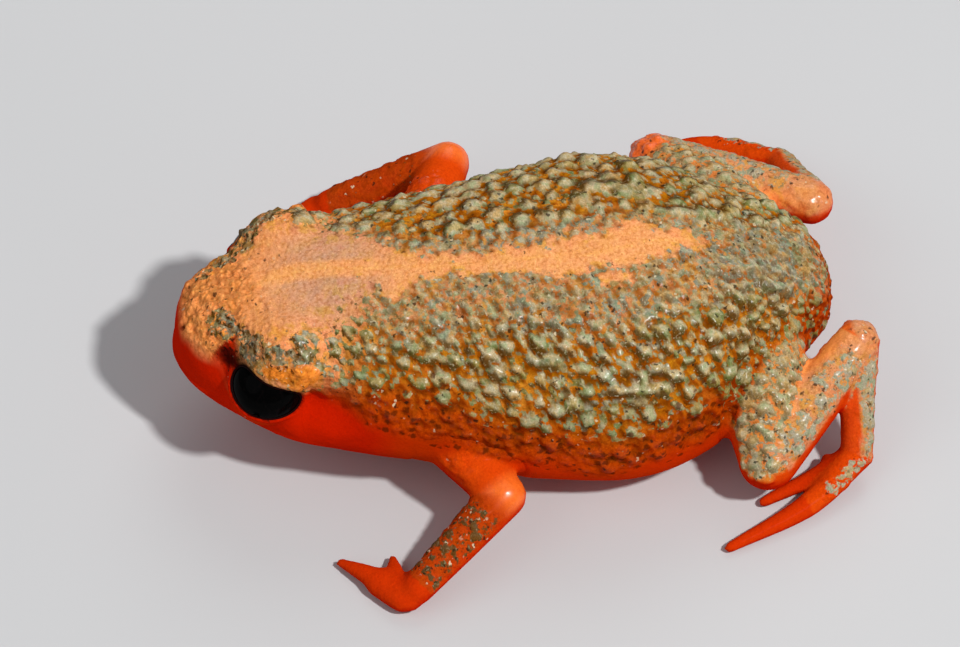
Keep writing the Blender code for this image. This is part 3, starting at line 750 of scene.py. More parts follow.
def broad_forms(straight):
    """Height of the lids' domes, the knob and hollow behind each, and the hollow between them."""
    lift = np.zeros(straight.shape[:-1])
    for centre in both_sides(LID_PLACE):
        lift += 0.34 * swelling(straight, centre, (1.02, 1.05, 1.05))
        lift += 0.15 * swelling(straight, (np.sign(centre[0]) * KNOB[0], *KNOB[1:]), 0.26)
        lift -= 0.30 * swelling(straight, (np.sign(centre[0]) * 2.02, 2.45, 2.28), (0.75, 0.85, 0.62))
    lift -= 0.05 * swelling(straight, (0.0, 1.9, 3.35), (0.55, 0.9, 0.5))
    return lift


def narrow_forms(points, straight, limb):
    """Depth of the mouth, nostrils and creases, and height of the lips."""
    y, z = straight[..., 1], straight[..., 2]
    head = (1 - smooth_step(y, 1.9, 2.8)) * (1 - limb)
    gap = (z - np.interp(y, MOUTH_LINE[:, 0], MOUTH_LINE[:, 1])) / 0.045
    lift = -0.07 * head * np.exp(-(gap**2))
    lift += 0.035 * head * np.exp(-(((np.abs(gap) - 2.2) / 1.3) ** 2))
    for centre in both_sides(NOSTRIL_PLACE):
        lift -= 0.12 * swelling(straight, centre, (0.09, 0.11, 0.08))
        lift += 0.035 * swelling(straight, (centre[0] * 1.1, centre[1] + 0.05, centre[2] + 0.02), 0.26)
    for path, width, depth in CREASES:
        lift -= depth * groove(points, path, width)
    return lift


def warty_relief(points, masks, warts):
    """Height of warts, long glands, granules and wrinkles over each point, and the profile and tone of the
    wart that shows there. It is calm round the eyes."""
    warped = points + 0.040 * np.column_stack([noise(points, 0.17, k) for k in (21, 22, 23)])
    warped += 0.018 * np.column_stack([noise(points, 0.07, k) for k in (24, 25, 26)])
    raised, profile, tone = wart_relief(warped, warts)
    calm = np.zeros(len(points))
    for centre in both_sides(EYE_PLACE):
        distance = np.linalg.norm(points - bend(np.array(centre)), axis=1)
        calm = np.maximum(calm, smooth_step(distance, EYE_RADIUS + 0.16, EYE_RADIUS + 0.06))
    lift = raised * (1 - calm)
    bumps = np.zeros(len(points))
    for start, end, radius, height in RIDGES:
        distance, _ = to_segment(warped, bend(np.array(start)), bend(np.array(end)))
        form = np.clip(1 - (distance / radius) ** 2, 0, None) ** 1.2
        bumps = np.maximum(bumps, form)
        lift = np.maximum(lift, height * form + 0.4 * lift * (form > 0))
    smooth = np.maximum(0.9 * masks["under"], np.maximum(0.72 * masks["stripe"], 0.8 * masks["crown"]))
    rough = (1 - smooth) * (1 - 0.8 * calm) * (1 - 0.7 * masks["limb"])
    lift += rough * (0.026 * noise(warped, 0.14, 7) + 0.020 * noise(points, 0.07, 8))
    lift += 0.03 * noise(points, 0.8, 9) * (1 - calm) * (1 - masks["limb"])
    granules = np.maximum(masks["band"], 0.7 * masks["snout"] * (1 - masks["under"]))
    lift += 0.036 * granules * (1 - calm) * (noise(points, 0.095, 11) + 0.5 * noise(points, 0.06, 12))
    return lift, np.clip(np.maximum(profile, bumps * 0.8), 0, 1), tone


def facing_light(normals, plain, straight):
    """How far the relief tips each point up, back and towards the spine, the side the painted light falls
    from, from 0 to 1. It places the painted highlights on the warts' lit tops and the painted shade on their
    other sides.
    """
    side = np.where(straight[:, 0] > 0, -0.60, 0.60)
    tip = normals - plain
    tipped = tip[:, 0] * side + tip[:, 1] * 0.45 + tip[:, 2] * 0.66
    return smooth_step(tipped, -0.38, 0.38)


def spread(values, edges, rounds):
    """Values averaged with those of their neighbours, round after round."""
    a, b = edges[:, 0], edges[:, 1]
    count = len(values)
    links = np.bincount(a, minlength=count) + np.bincount(b, minlength=count)
    for _ in range(rounds):
        total = np.bincount(a, values[b], count) + np.bincount(b, values[a], count)
        values = 0.5 * values + 0.5 * total / links
    return values


def spread_grid(values, rounds):
    """Grid values averaged with their four neighbours, closed round the columns."""
    for _ in range(rounds):
        padded = np.vstack([values[:1], values, values[-1:]])
        values = (0.4 * values + 0.15 * (padded[:-2] + padded[2:])
                  + 0.15 * (np.roll(values, 1, axis=1) + np.roll(values, -1, axis=1)))
    return values


def hide_share(masks):
    """1 where the dense hide of head and back shows, 0 on the limbs and at their roots."""
    return smooth_step(masks["limb_gap"], 0.04, 0.26) * (1 - masks["limb"])


def make_skin_mesh(settings):
    """The skin's mesh: fused shells, relaxed, with every form on them. It lies just under the hide."""
    shells = [body_shell()]
    for joints in JOINTS:
        shells += limb_shells(joints)
    mesh = fused(shells, settings.voxel)
    points, edges, faces = read_mesh(mesh)
    masks = regions(points)
    crease = np.exp(-((masks["body"] / 0.30) ** 2 + (masks["limb_gap"] / 0.30) ** 2))
    points = relaxed(points, edges, np.ones(len(points)), 3)
    points = relaxed(points, edges, np.clip(crease + 0.6 * masks["limb"], 0, 1), 14)
    masks = regions(points)
    points = points + point_normals(points, faces) * broad_forms(masks["straight"])[:, None]
    points = open_eyes(points)
    lift = narrow_forms(points, masks["straight"], masks["limb"])
    points = points + point_normals(points, faces) * lift[:, None]
    normals = point_normals(points, faces)
    masks["limb_top"] = limb_tops(normals, masks)
    warts = scatter_warts(points, masks, settings.seed)
    lift, masks["wart"], masks["tone"] = warty_relief(points, masks, warts)
    around = spread(lift, edges, 3)
    # painted shade in the pits: where the surface lies below the mean of its neighbours
    masks["pit"] = smooth_step(around - lift, 0.004, 0.035)
    covered = hide_share(masks)
    lift = lift * (1 - 0.7 * covered) - HIDE_LIFT * covered
    points = points + normals * lift[:, None]
    points[:, 2] = np.maximum(points[:, 2], HIDE_LIFT * 0.6 * hide_share(masks))
    final = point_normals(points, faces)
    masks["facing"] = final[:, 2]
    masks["light"] = facing_light(final, normals, masks["straight"])
    return mesh, points, masks, warts


def make_hide(rows, angles, warts):
    """A closed shell over head and trunk, finer than the skin, with the same forms. It sinks under the
    skin at the roots of the limbs."""
    straight = body_grid(0.0, PROFILE[-1, 0], rows, angles)
    straight[[0, -1]] = straight[[0, -1]].mean(axis=1, keepdims=True)
    points = bend(straight)
    shape = points.shape
    points = points + grid_normals(points) * broad_forms(straight)[..., None]
    points = open_eyes(points.reshape(-1, 3)).reshape(shape)
    masks = regions(points.reshape(-1, 3), straight.reshape(-1, 3))
    lift = narrow_forms(points.reshape(-1, 3), masks["straight"], masks["limb"]).reshape(shape[:2])
    points = points + grid_normals(points) * lift[..., None]
    normals = grid_normals(points).reshape(-1, 3)
    masks["limb_top"] = np.zeros(len(normals))
    shown = hide_share(masks)
    masks["limb"] = masks["limb"] * 0
    lift, masks["wart"], masks["tone"] = warty_relief(points.reshape(-1, 3), masks, warts)
    around = spread_grid(lift.reshape(shape[:2]), 12).ravel()
    # painted shade in the pits: where the surface lies below the mean of its neighbours
    masks["pit"] = smooth_step(around - lift, 0.004, 0.035)
    points = points.reshape(-1, 3) + normals * (lift - HIDE_SINK * (1 - shown))[:, None]
    points[:, 2] = np.maximum(points[:, 2], 0.0)
    final = grid_normals(points.reshape(shape)).reshape(-1, 3)
    masks["facing"] = final[:, 2]
    masks["light"] = facing_light(final, normals, masks["straight"])
    columns = shape[1]
    inner = slice(columns - 1, len(points) - columns + 1)
    return points.reshape(shape), {key: values[inner] for key, values in masks.items()}


def limb_tops(normals, masks):
    """How far each point lies on the upper, outer side of a limb, where the dark blotches are."""
    way, share = way_of(masks), masks["share"]
    up = normals[:, 2] + 0.35 * masks["wobble"]
    behind = -masks["front"] + 0.4 * masks["wobble"]
    rear = smooth_step(behind, -0.25, 0.35)
    calf = smooth_step(behind, -0.75, 0.05)
    knee = smooth_step(share, 0.42, 0.16)
    fore = smooth_step(share, 0.10, 0.26) * smooth_step(share, 1.0, 0.88)
    strength = {
        UPPER_ARM: 0.5 * smooth_step(share, 0.85, 0.45),
        FOREARM: fore * np.where(on_right(masks), 0.45, 1.0),
        THIGH: smooth_step(up, 0.12, 0.50),
        SHANK: np.maximum(0.9 * calf, knee) * (1 - 0.5 * smooth_step(share, 0.85, 1.0)),
        TARSUS: np.maximum(rear, 0.2),
        FOOT: 0.9 * rear * smooth_step(share, 1.0, 0.6),
    }
    top = smooth_step(up, -0.05, 0.45)
    return top * np.select([way == here for here in strength], list(strength.values()), 0.0)


def mixed(first, second, share):
    """Blend of two colours by an array of shares."""
    return first * (1 - share[..., None]) + np.asarray(second) * share[..., None]


def layered(base, *layers):
    """A base colour with others blended over it in turn, each by its array of shares."""
    for colour, share in layers:
        base = mixed(base, colour, share)
    return base


def one_colour(colour, count):
    """The same colour for every point."""
    return np.repeat(np.array([colour], float), count, axis=0)


def paint_limbs(masks, colours):
    """Ground colour of the limbs, red below, with redder hands, bright joints and thighs like the back, and
    how far each point lies on a bright joint. The joints' bright orange lies on their upward-facing sides,
    partly their own colour and partly painted light."""
    count = len(masks["limb"])
    way, share, up = way_of(masks), masks["share"], masks["facing"]
    joint = np.zeros(count)
    far_knee = 0.9 * on_right(masks)
    bright = ((UPPER_ARM, 0.0, 1.0), (FOREARM, 1.0, 0.0), (THIGH, 0.0, far_knee), (SHANK, 0.3, 0.8),
              (TARSUS, 0.8, 0.0))
    for here, at_start, at_end in bright:
        near = np.maximum(at_start * smooth_step(share, 0.18, 0.0), at_end * smooth_step(share, 0.84, 1.0))
        joint = np.where(way == here, near, joint)
    shank = (way == SHANK) * smooth_step(masks["front"] + 0.3 * masks["wobble"], -0.6, 0.1)
    # lit: the upward-facing side, where the joints' bright orange is laid, partly as painted light
    lit = smooth_step(up, -0.1, 0.5)
    leg = np.isin(way, (SHANK, TARSUS)) * masks["limb_top"]
    forearm = (way == FOREARM) * smooth_step(up + 0.25 * masks["wobble"], -0.2, 0.5) * (1 - joint)
    thigh = (way == THIGH) * masks["limb_top"] * (1 - joint)
    plain = np.isin(way, (PALM, FINGER, TOE, SHORT_FOOT, SHORT_TOE)) * 1.0
    ground = layered(
        one_colour(colours.limb, count),
        (colours.joint, joint * lit),
        (colours.shank, shank * smooth_step(up, 0.1, 0.7)),
        (colours.back, 0.75 * smooth_step(leg, 0.15, 0.6)),
        (colours.forearm, 0.8 * forearm),
        (colours.thigh, 0.9 * smooth_step(thigh, 0.15, 0.6)),
        (colours.red, 0.55 * plain),
        (colours.red, smooth_step(up, 0.35, -0.30)))
    return ground, joint * lit


def paint_trunk(masks, colours):
    """Ground colour of head and trunk: ochre between the warts, warmer beside the stripe, a peach head, an
    orange stripe and snout, a red-brown lower flank and a red underside, darkened by painted shade on the
    sides of the warts that face away from the light."""
    x, y = masks["straight"].T[:2]
    under, stripe, low, snout = (masks[name] for name in ("under", "stripe", "low", "snout"))
    patchy, small, near_spine, head = (masks[name] for name in ("patchy", "small", "near_spine", "head"))
    middle = np.interp(y, STRIPE[:, 0], STRIPE[:, 1])
    line = np.exp(-(((x - middle + 0.06 * masks["wobble"]) / 0.030) ** 2)) * smooth_step(y, 1.2, 1.5)
    patch = masks["crown"] * smooth_step(np.abs(x - middle) + 0.05 * masks["wobble"], 0.10, 0.26)
    brown = low * smooth_step(y, 3.2, 4.2) * smooth_step(small + 0.6 * patchy, 0.75, 1.15)
    belly = smooth_step(y, 3.0, 4.5)
    ground = layered(
        one_colour(colours.valley, len(y)),
        (colours.back, 0.85 * near_spine),
        (colours.warm_valley, smooth_step(patchy, 0.45, 0.8) * (1 - near_spine) * 0.8),
        (colours.peach, head),
        (colours.stripe, stripe),
        (colours.stripe_line, line * 0.45 * stripe),
        (colours.crown, np.clip(patch * (0.7 + 0.6 * small), 0, 1)),
        (colours.snout, snout * (1 - under)),
        (colours.flank, low * (1 - snout)),
        (colours.brown, 0.50 * brown),
        (colours.red, under * (1 - belly)),
        (colours.belly, under * belly))
    # painted shade: the Shade colour darkens the ground on the warts' sides that face away from the light
    shaded = smooth_step(masks["light"], 0.62, 0.15) * (1 - 0.8 * stripe) * (1 - head) * (1 - under)
    return mixed(ground, ground * np.array(colours.shade), shaded * (1 - masks["limb"]))


def bright_knobs(points, straight):
    """How far each point lies on the knob behind an eye or on the ridge along the lid before it."""
    knob = np.zeros(len(points))
    for centre in both_sides(KNOB):
        side = np.sign(centre[0])
        knob += swelling(straight, centre, (0.30, 0.34, 0.22))
        start, end = np.array((1.48 * side, 1.66, 2.80)), np.array((1.68 * side, 2.12, 2.76))
        ridge = to_segment(straight, start, end)[0]
        knob += smooth_step(ridge + 0.05 * noise(points, 0.1, 17), 0.13, 0.05)
    return knob


def round_the_eyes(points, straight):
    """Shares of dark skin round and before the eyes, partly painted shade in the cleft where the lids
    overhang the eyeball and in the nostrils' hollows, and of plain red below the eyes.
    """
    dark, lower = np.zeros(len(points)), np.zeros(len(points))
    for side, place, opening in zip((1.0, -1.0), both_sides(EYE_PLACE), OPENINGS):
        centre, _, ahead, _ = eye_frame(place)
        away = points - centre
        distance = np.linalg.norm(away, axis=1)
        direction = away / np.maximum(distance[:, None], 1e-9)
        rise, f = lid_oval(direction, place, opening)
        fore = smooth_step(direction @ ahead, -0.2, 0.6) * smooth_step(rise, -0.2, 0.4)
        # dark skin and painted shade in the lids' cleft, reaching further at each eye's front and top
        ring = smooth_step(f, 1.05 + 0.12 * fore, 1.01) * (distance < EYE_RADIUS + 0.3)
        start, end = np.array((1.06 * side, 0.88, 2.64)), np.array((1.42 * side, 1.20, 2.84))
        smear = to_segment(straight, start, end)[0] + 0.06 * noise(points, 0.12, 16)
        dark = np.maximum.reduce([dark, ring, 0.9 * smooth_step(smear, 0.27, 0.05)])
        below = smooth_step(rise, 0.30, -0.05) * smooth_step(f, 1.7, 1.3)
        lower = np.maximum(lower, below * (distance < EYE_RADIUS + 0.4))
    # painted shade in the nostrils' hollows
    for centre in both_sides(NOSTRIL_PLACE):
        dark = np.maximum(dark, swelling(straight, centre, (0.085, 0.10, 0.075)) ** 0.5)
    return dark, lower


def paint_cover(masks, colours):
    """Colour of the pigment over the ground: grey, blue-grey, olive, tan and green in patches, dark olive as
    painted shade on the sides of the warts that face away from the light, pale as painted highlights on their
    lit tops, and the limbs' own blotches."""
    limb, light, low = masks["limb"], masks["light"], masks["flank_low"]
    patchy, calm, arm = masks["patchy"], masks["calm"], masks["arm"]
    flank = masks["flank"]
    turn = 0.30 * calm
    far = smooth_step(-masks["straight"][:, 0], 0.2, 0.8)
    # painted highlight: pale on the warts' tops where the relief faces the light
    lit = smooth_step(light, 0.58, 0.95) * smooth_step(masks["wart"], 0.35, 0.8)
    on_limbs = np.where(arm[:, None], np.array(colours.arm_grey), np.array(colours.leg_grey))
    return layered(
        one_colour(colours.grey, len(limb)),
        (colours.blue_grey, smooth_step(patchy, 0.45 + turn, 0.15 + turn) * 0.85),
        (colours.olive, smooth_step(patchy, 0.55, 0.85) * (0.3 + 0.5 * flank)),
        (colours.tan, smooth_step(masks["small"] + 0.15 * far, 0.50, 0.75) * 0.75),
        (colours.green, smooth_step(masks["tone"], 0.45, 0.85) * 0.8 * flank),
        # painted shade: dark olive on the warts' sides that face away from the light
        (colours.painted_shade_olive, smooth_step(light, 0.44, 0.12) * (0.45 + 0.50 * flank)),
        (colours.pale, lit * 0.62 * (1 - 0.8 * low)),
        (colours.green, 0.45 * low),
        (on_limbs, np.where(arm, 0.90, 0.75 * (1 - masks["thigh"])) * limb))


def pigment_cover(masks, knob, joint):
    """How much of the ground the pigment hides: most on the back, less low down, little on stripe, snout and
    crown, more on temples, the band before the eyes and the tops of the limbs, and most on the warts."""
    x, y = masks["straight"].T[:2]
    under, limb, low, wobble = masks["under"], masks["limb"], masks["flank_low"], masks["wobble"]
    thigh, arm = masks["thigh"], masks["arm"]
    pigment = 0.58 + 0.14 * masks["near_spine"] - 0.43 * masks["low"] + 0.16 * smooth_step(y, 8.2, 9.2)
    pigment *= (1 - under) * (1 - 0.95 * masks["clear"]) * (1 - masks["snout"])
    pigment *= smooth_step(y + 0.55 * np.abs(x) + 0.3 * wobble, 2.3, 3.3) * 0.92 + 0.08
    temple = smooth_step(np.abs(x) + 0.1 * wobble, 0.75, 1.10) * smooth_step(y, 1.35, 1.85) * (1 - under)
    pigment = np.maximum(pigment, np.where(x > 0, 0.58, 0.54) * temple * (1 - masks["low"]))
    pigment = np.maximum(pigment, 0.92 * masks["band"]) * (1 - smooth_step(knob, 0.03, 0.3))
    on_limb = masks["limb_top"] * (0.80 - 0.06 * thigh - 0.22 * arm) * (1 - joint)
    pigment = pigment * (1 - limb) + on_limb * limb
    hold = np.where(limb > 0.5, (0.4 + 0.5 * thigh) * masks["limb_top"], masks["flank"])
    held = (0.36 + 0.22 * low) * smooth_step(masks["wart"], 0.08, 0.55) - 0.02 - 0.15 * low
    return pigment + hold * held * smooth_step(pigment, 0.1, 0.35)


def paint_skin(points, masks, colours):
    """What the skin's material reads at each point: the ground's and the cover's colour, and shares of
    pigment, dark skin with painted shade round the eyes and in the nostrils, specks, dots, painted shade in
    the pits, pale flecks, gloss and ragged edges."""
    straight, limb, under, stripe = (masks[name] for name in ("straight", "limb", "under", "stripe"))
    x, y = straight.T[:2]
    masks["patchy"] = 0.5 + 0.5 * noise(points, 0.33, 14)
    masks["small"] = 0.5 + 0.5 * noise(points, 0.13, 15)
    masks["near_spine"] = masks["beside"] * smooth_step(y, 2.8, 3.6)
    masks["head"] = 1 - smooth_step(y + 0.3 * np.abs(x), 2.9, 3.8)
    masks["calm"] = np.maximum(masks["near_spine"], masks["head"])
    masks["flank"] = (1 - masks["near_spine"]) * (1 - limb)
    masks["flank_low"] = masks["low"] * (1 - limb)
    masks["thigh"] = (way_of(masks) == THIGH) * 1.0
    masks["arm"] = way_of(masks) < THIGH

    limb_ground, joint = paint_limbs(masks, colours)
    knob = bright_knobs(points, straight)
    dark, below_eye = round_the_eyes(points, straight)
    ground = layered(
        paint_trunk(masks, colours),
        (limb_ground, limb),
        (colours.knob, smooth_step(knob, 0.03, 0.4)),
        (colours.red, below_eye))
    pigment = pigment_cover(masks, knob, joint) * (1 - below_eye)

    tip = 0.9 * swelling(straight, (0.0, 0.30, 2.6), (0.9, 0.40, 0.5))
    on_body = 0.34 * (1 - under) * (1 - 0.6 * stripe) * (1 - 0.6 * masks["crown"]) * (1 - limb)
    on_limb = np.where(masks["arm"], 1.0, 0.6) * masks["limb_top"] * limb
    speck = np.maximum.reduce([on_body, masks["band"], tip, on_limb])
    wet = smooth_step(masks["wart"], 0.45, 0.85) * (1 - under) * (1 - 0.6 * masks["flank_low"])
    return {
        "ground": ground,
        "cover": paint_cover(masks, colours),
        "pigment": np.clip(pigment, 0, 1),
        "dark": np.clip(dark, 0, 1),
        "speck": np.clip(speck, 0, 1),
        "spot": masks["low"] * (1 - smooth_step(under, 0.80, 1.0)) * smooth_step(y, 2.6, 3.6) * (1 - limb),
        "pit": masks["pit"] * (1 - under) * (1 - 0.7 * stripe) * (1 - 0.6 * limb),
        "fleck": 1 - 0.45 * masks["arm"] * limb,
        "gloss": 0.01 + 0.42 * wet + 0.8 * joint * limb,
        "calm": np.maximum(masks["calm"], limb),
    }


def set_attribute(mesh, name, values):
    """Keep one number, or one colour, for each point of a mesh."""
    if values.ndim == 1:
        attribute = mesh.attributes.new(name, "FLOAT", "POINT")
        attribute.data.foreach_set("value", values.astype(np.float32))
    else:
        attribute = mesh.attributes.new(name, "FLOAT_COLOR", "POINT")
        full = np.column_stack([values, np.ones(len(values))])
        attribute.data.foreach_set("color", full.astype(np.float32).ravel())


def row_offset():
    """How far the row frame lies from the millimetre body, read from where the left eye was packed."""
    low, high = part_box("eye_left")
    return (np.array(low) + np.array(high)) / 2 - bend(np.array(EYE_PLACE)) * MM


def place_points(mesh, points):
    """Put millimetre points into a mesh, in metres, where the row frame has them."""
    mesh.vertices.foreach_set("co", (points * MM + row_offset()).astype(np.float32).ravel())
    mesh.update()


class Nodes:
    """Short ways to place and join shader nodes in one tree."""

    def __init__(self, tree):
        self.tree = tree

    def add(self, kind, **settings):
        """A node of the kind with its settings; a number, colour or link fills the socket it names."""
        node = self.tree.nodes.new(kind)
        for key, value in settings.items():
            if hasattr(node, key) and not key.startswith("in_"):
                setattr(node, key, value)
            else:
                socket = node.inputs[int(key[3:]) if key[3:].isdigit() else key[3:].replace("_", " ")]
                self.fill(socket, value)
        return node

    def fill(self, socket, value):
        """Link an output to a socket, or set the socket's own value."""
        if isinstance(value, bpy.types.NodeSocket):
            self.tree.links.new(value, socket)
        elif isinstance(value, tuple) and len(value) == 3 and socket.type == "RGBA":
            socket.default_value = (*value, 1.0)
        else:
            socket.default_value = value

    def math(self, operation, first, second, clamp=False):
        """One Math node's value."""
        node = self.add("ShaderNodeMath", operation=operation, use_clamp=clamp, in_0=first, in_1=second)
        return node.outputs[0]

    def about_middle(self, value, gain):
        """How far a value lies from 0.5, times a gain."""
        return self.math("MULTIPLY", self.math("SUBTRACT", value, 0.5), gain)

    def ramp(self, value, low, high, out_low=0.0, out_high=1.0):
        """A smooth step of a value between two limits."""
        node = self.add("ShaderNodeMapRange", interpolation_type="SMOOTHSTEP",
                        in_0=value, in_1=low, in_2=high, in_3=out_low, in_4=out_high)
        return node.outputs[0]

    def mix(self, share, first, second, blend="MIX"):
        """Blend of two colours by a share."""
        node = self.add("ShaderNodeMix", data_type="RGBA", blend_type=blend)
        self.fill(node.inputs[0], share)
        self.fill(node.inputs[6], first)
        self.fill(node.inputs[7], second)
        return node.outputs[2]

    def noise(self, place, scale, detail=2.0, roughness=0.5):
        """Noise from about 0 to 1 at a scale in features for each millimetre."""
        node = self.add("ShaderNodeTexNoise", in_Vector=place, in_Scale=scale, in_Detail=detail,
                        in_Roughness=roughness)
        return node.outputs["Fac"]

    def moved(self, place, scale, reach):
        """A place shifted by noise of a scale, as far as the reach."""
        wander = self.add("ShaderNodeTexNoise", in_Vector=place, in_Scale=scale, in_Detail=2.0)
        shift = self.add("ShaderNodeVectorMath", operation="SCALE", in_0=wander.outputs["Color"])
        shift.inputs["Scale"].default_value = reach
        return self.add("ShaderNodeVectorMath", operation="ADD", in_0=place, in_1=shift.outputs[0]).outputs[0]

    def spots(self, place, per_mm, amount, wide, narrow, soft):
        """Round spots in cells of a size, in as many cells as the amount says."""
        cell = self.add("ShaderNodeTexVoronoi", feature="F1", in_Vector=place, in_Scale=per_mm)
        luck = self.add("ShaderNodeSeparateColor", in_0=cell.outputs["Color"]).outputs[0]
        over = self.math("SUBTRACT", luck, self.math("SUBTRACT", 1.0, amount))
        return self.math("MULTIPLY", self.ramp(cell.outputs["Distance"], wide, narrow),
                         self.ramp(over, 0.0, soft))


def effect(name, inputs, outputs):
    """An empty shader node group with named inputs and outputs."""
    tree = bpy.data.node_groups.new(name, "ShaderNodeTree")
    for label, kind, default in inputs:
        socket = tree.interface.new_socket(label, in_out="INPUT", socket_type=kind)
        if default is not None:
            socket.default_value = default
    for label, kind in outputs:
        tree.interface.new_socket(label, in_out="OUTPUT", socket_type=kind)
    nodes = Nodes(tree)
    source = nodes.add("NodeGroupInput")
    result = nodes.add("NodeGroupOutput")
    return nodes, source, result


def wet_grain_effect():
    """Fine granules of wet skin: a height, and a mask of the tops of the granules."""
    nodes, source, result = effect(
        "Wet Grain",
        (("Place", "NodeSocketVector", None), ("Granules per mm", "NodeSocketFloat", 10.0),
         ("Grain", "NodeSocketFloat", 1.0)),
        (("Height", "NodeSocketFloat"), ("Tops", "NodeSocketFloat")))
    place, per_mm, grain = source.outputs[0], source.outputs[1], source.outputs[2]
    cell = nodes.add("ShaderNodeTexVoronoi", feature="SMOOTH_F1", in_Vector=nodes.moved(place, 6.0, 0.10),
                     in_Scale=per_mm, in_Smoothness=0.35)
    distance = cell.outputs["Distance"]
    dome = nodes.math("SUBTRACT", 1.0, nodes.math("MULTIPLY", distance, 1.35), clamp=True)
    fine = nodes.noise(place, 32.0, 3.0, 0.6)
    height = nodes.math("ADD", nodes.math("MULTIPLY", dome, grain), nodes.math("MULTIPLY", fine, 0.35))
    nodes.fill(result.inputs[0], height)
    nodes.fill(result.inputs[1], nodes.ramp(dome, 0.22, 0.50))
    return nodes.tree


def object_place(nodes):
    """The place of a surface point in millimetres, from Object coordinates."""
    coordinates = nodes.add("ShaderNodeTexCoord")
    mapping = nodes.add("ShaderNodeMapping", in_Vector=coordinates.outputs["Object"])
    mapping.inputs["Scale"].default_value = (1000.0, 1000.0, 1000.0)
    return mapping.outputs[0]


def new_material(name):
    """A material with a Principled shader, and its node tools."""
    made = bpy.data.materials.new(name)
    made.use_nodes = True
    nodes = Nodes(made.node_tree)
    return made, nodes, made.node_tree.nodes["Principled BSDF"]


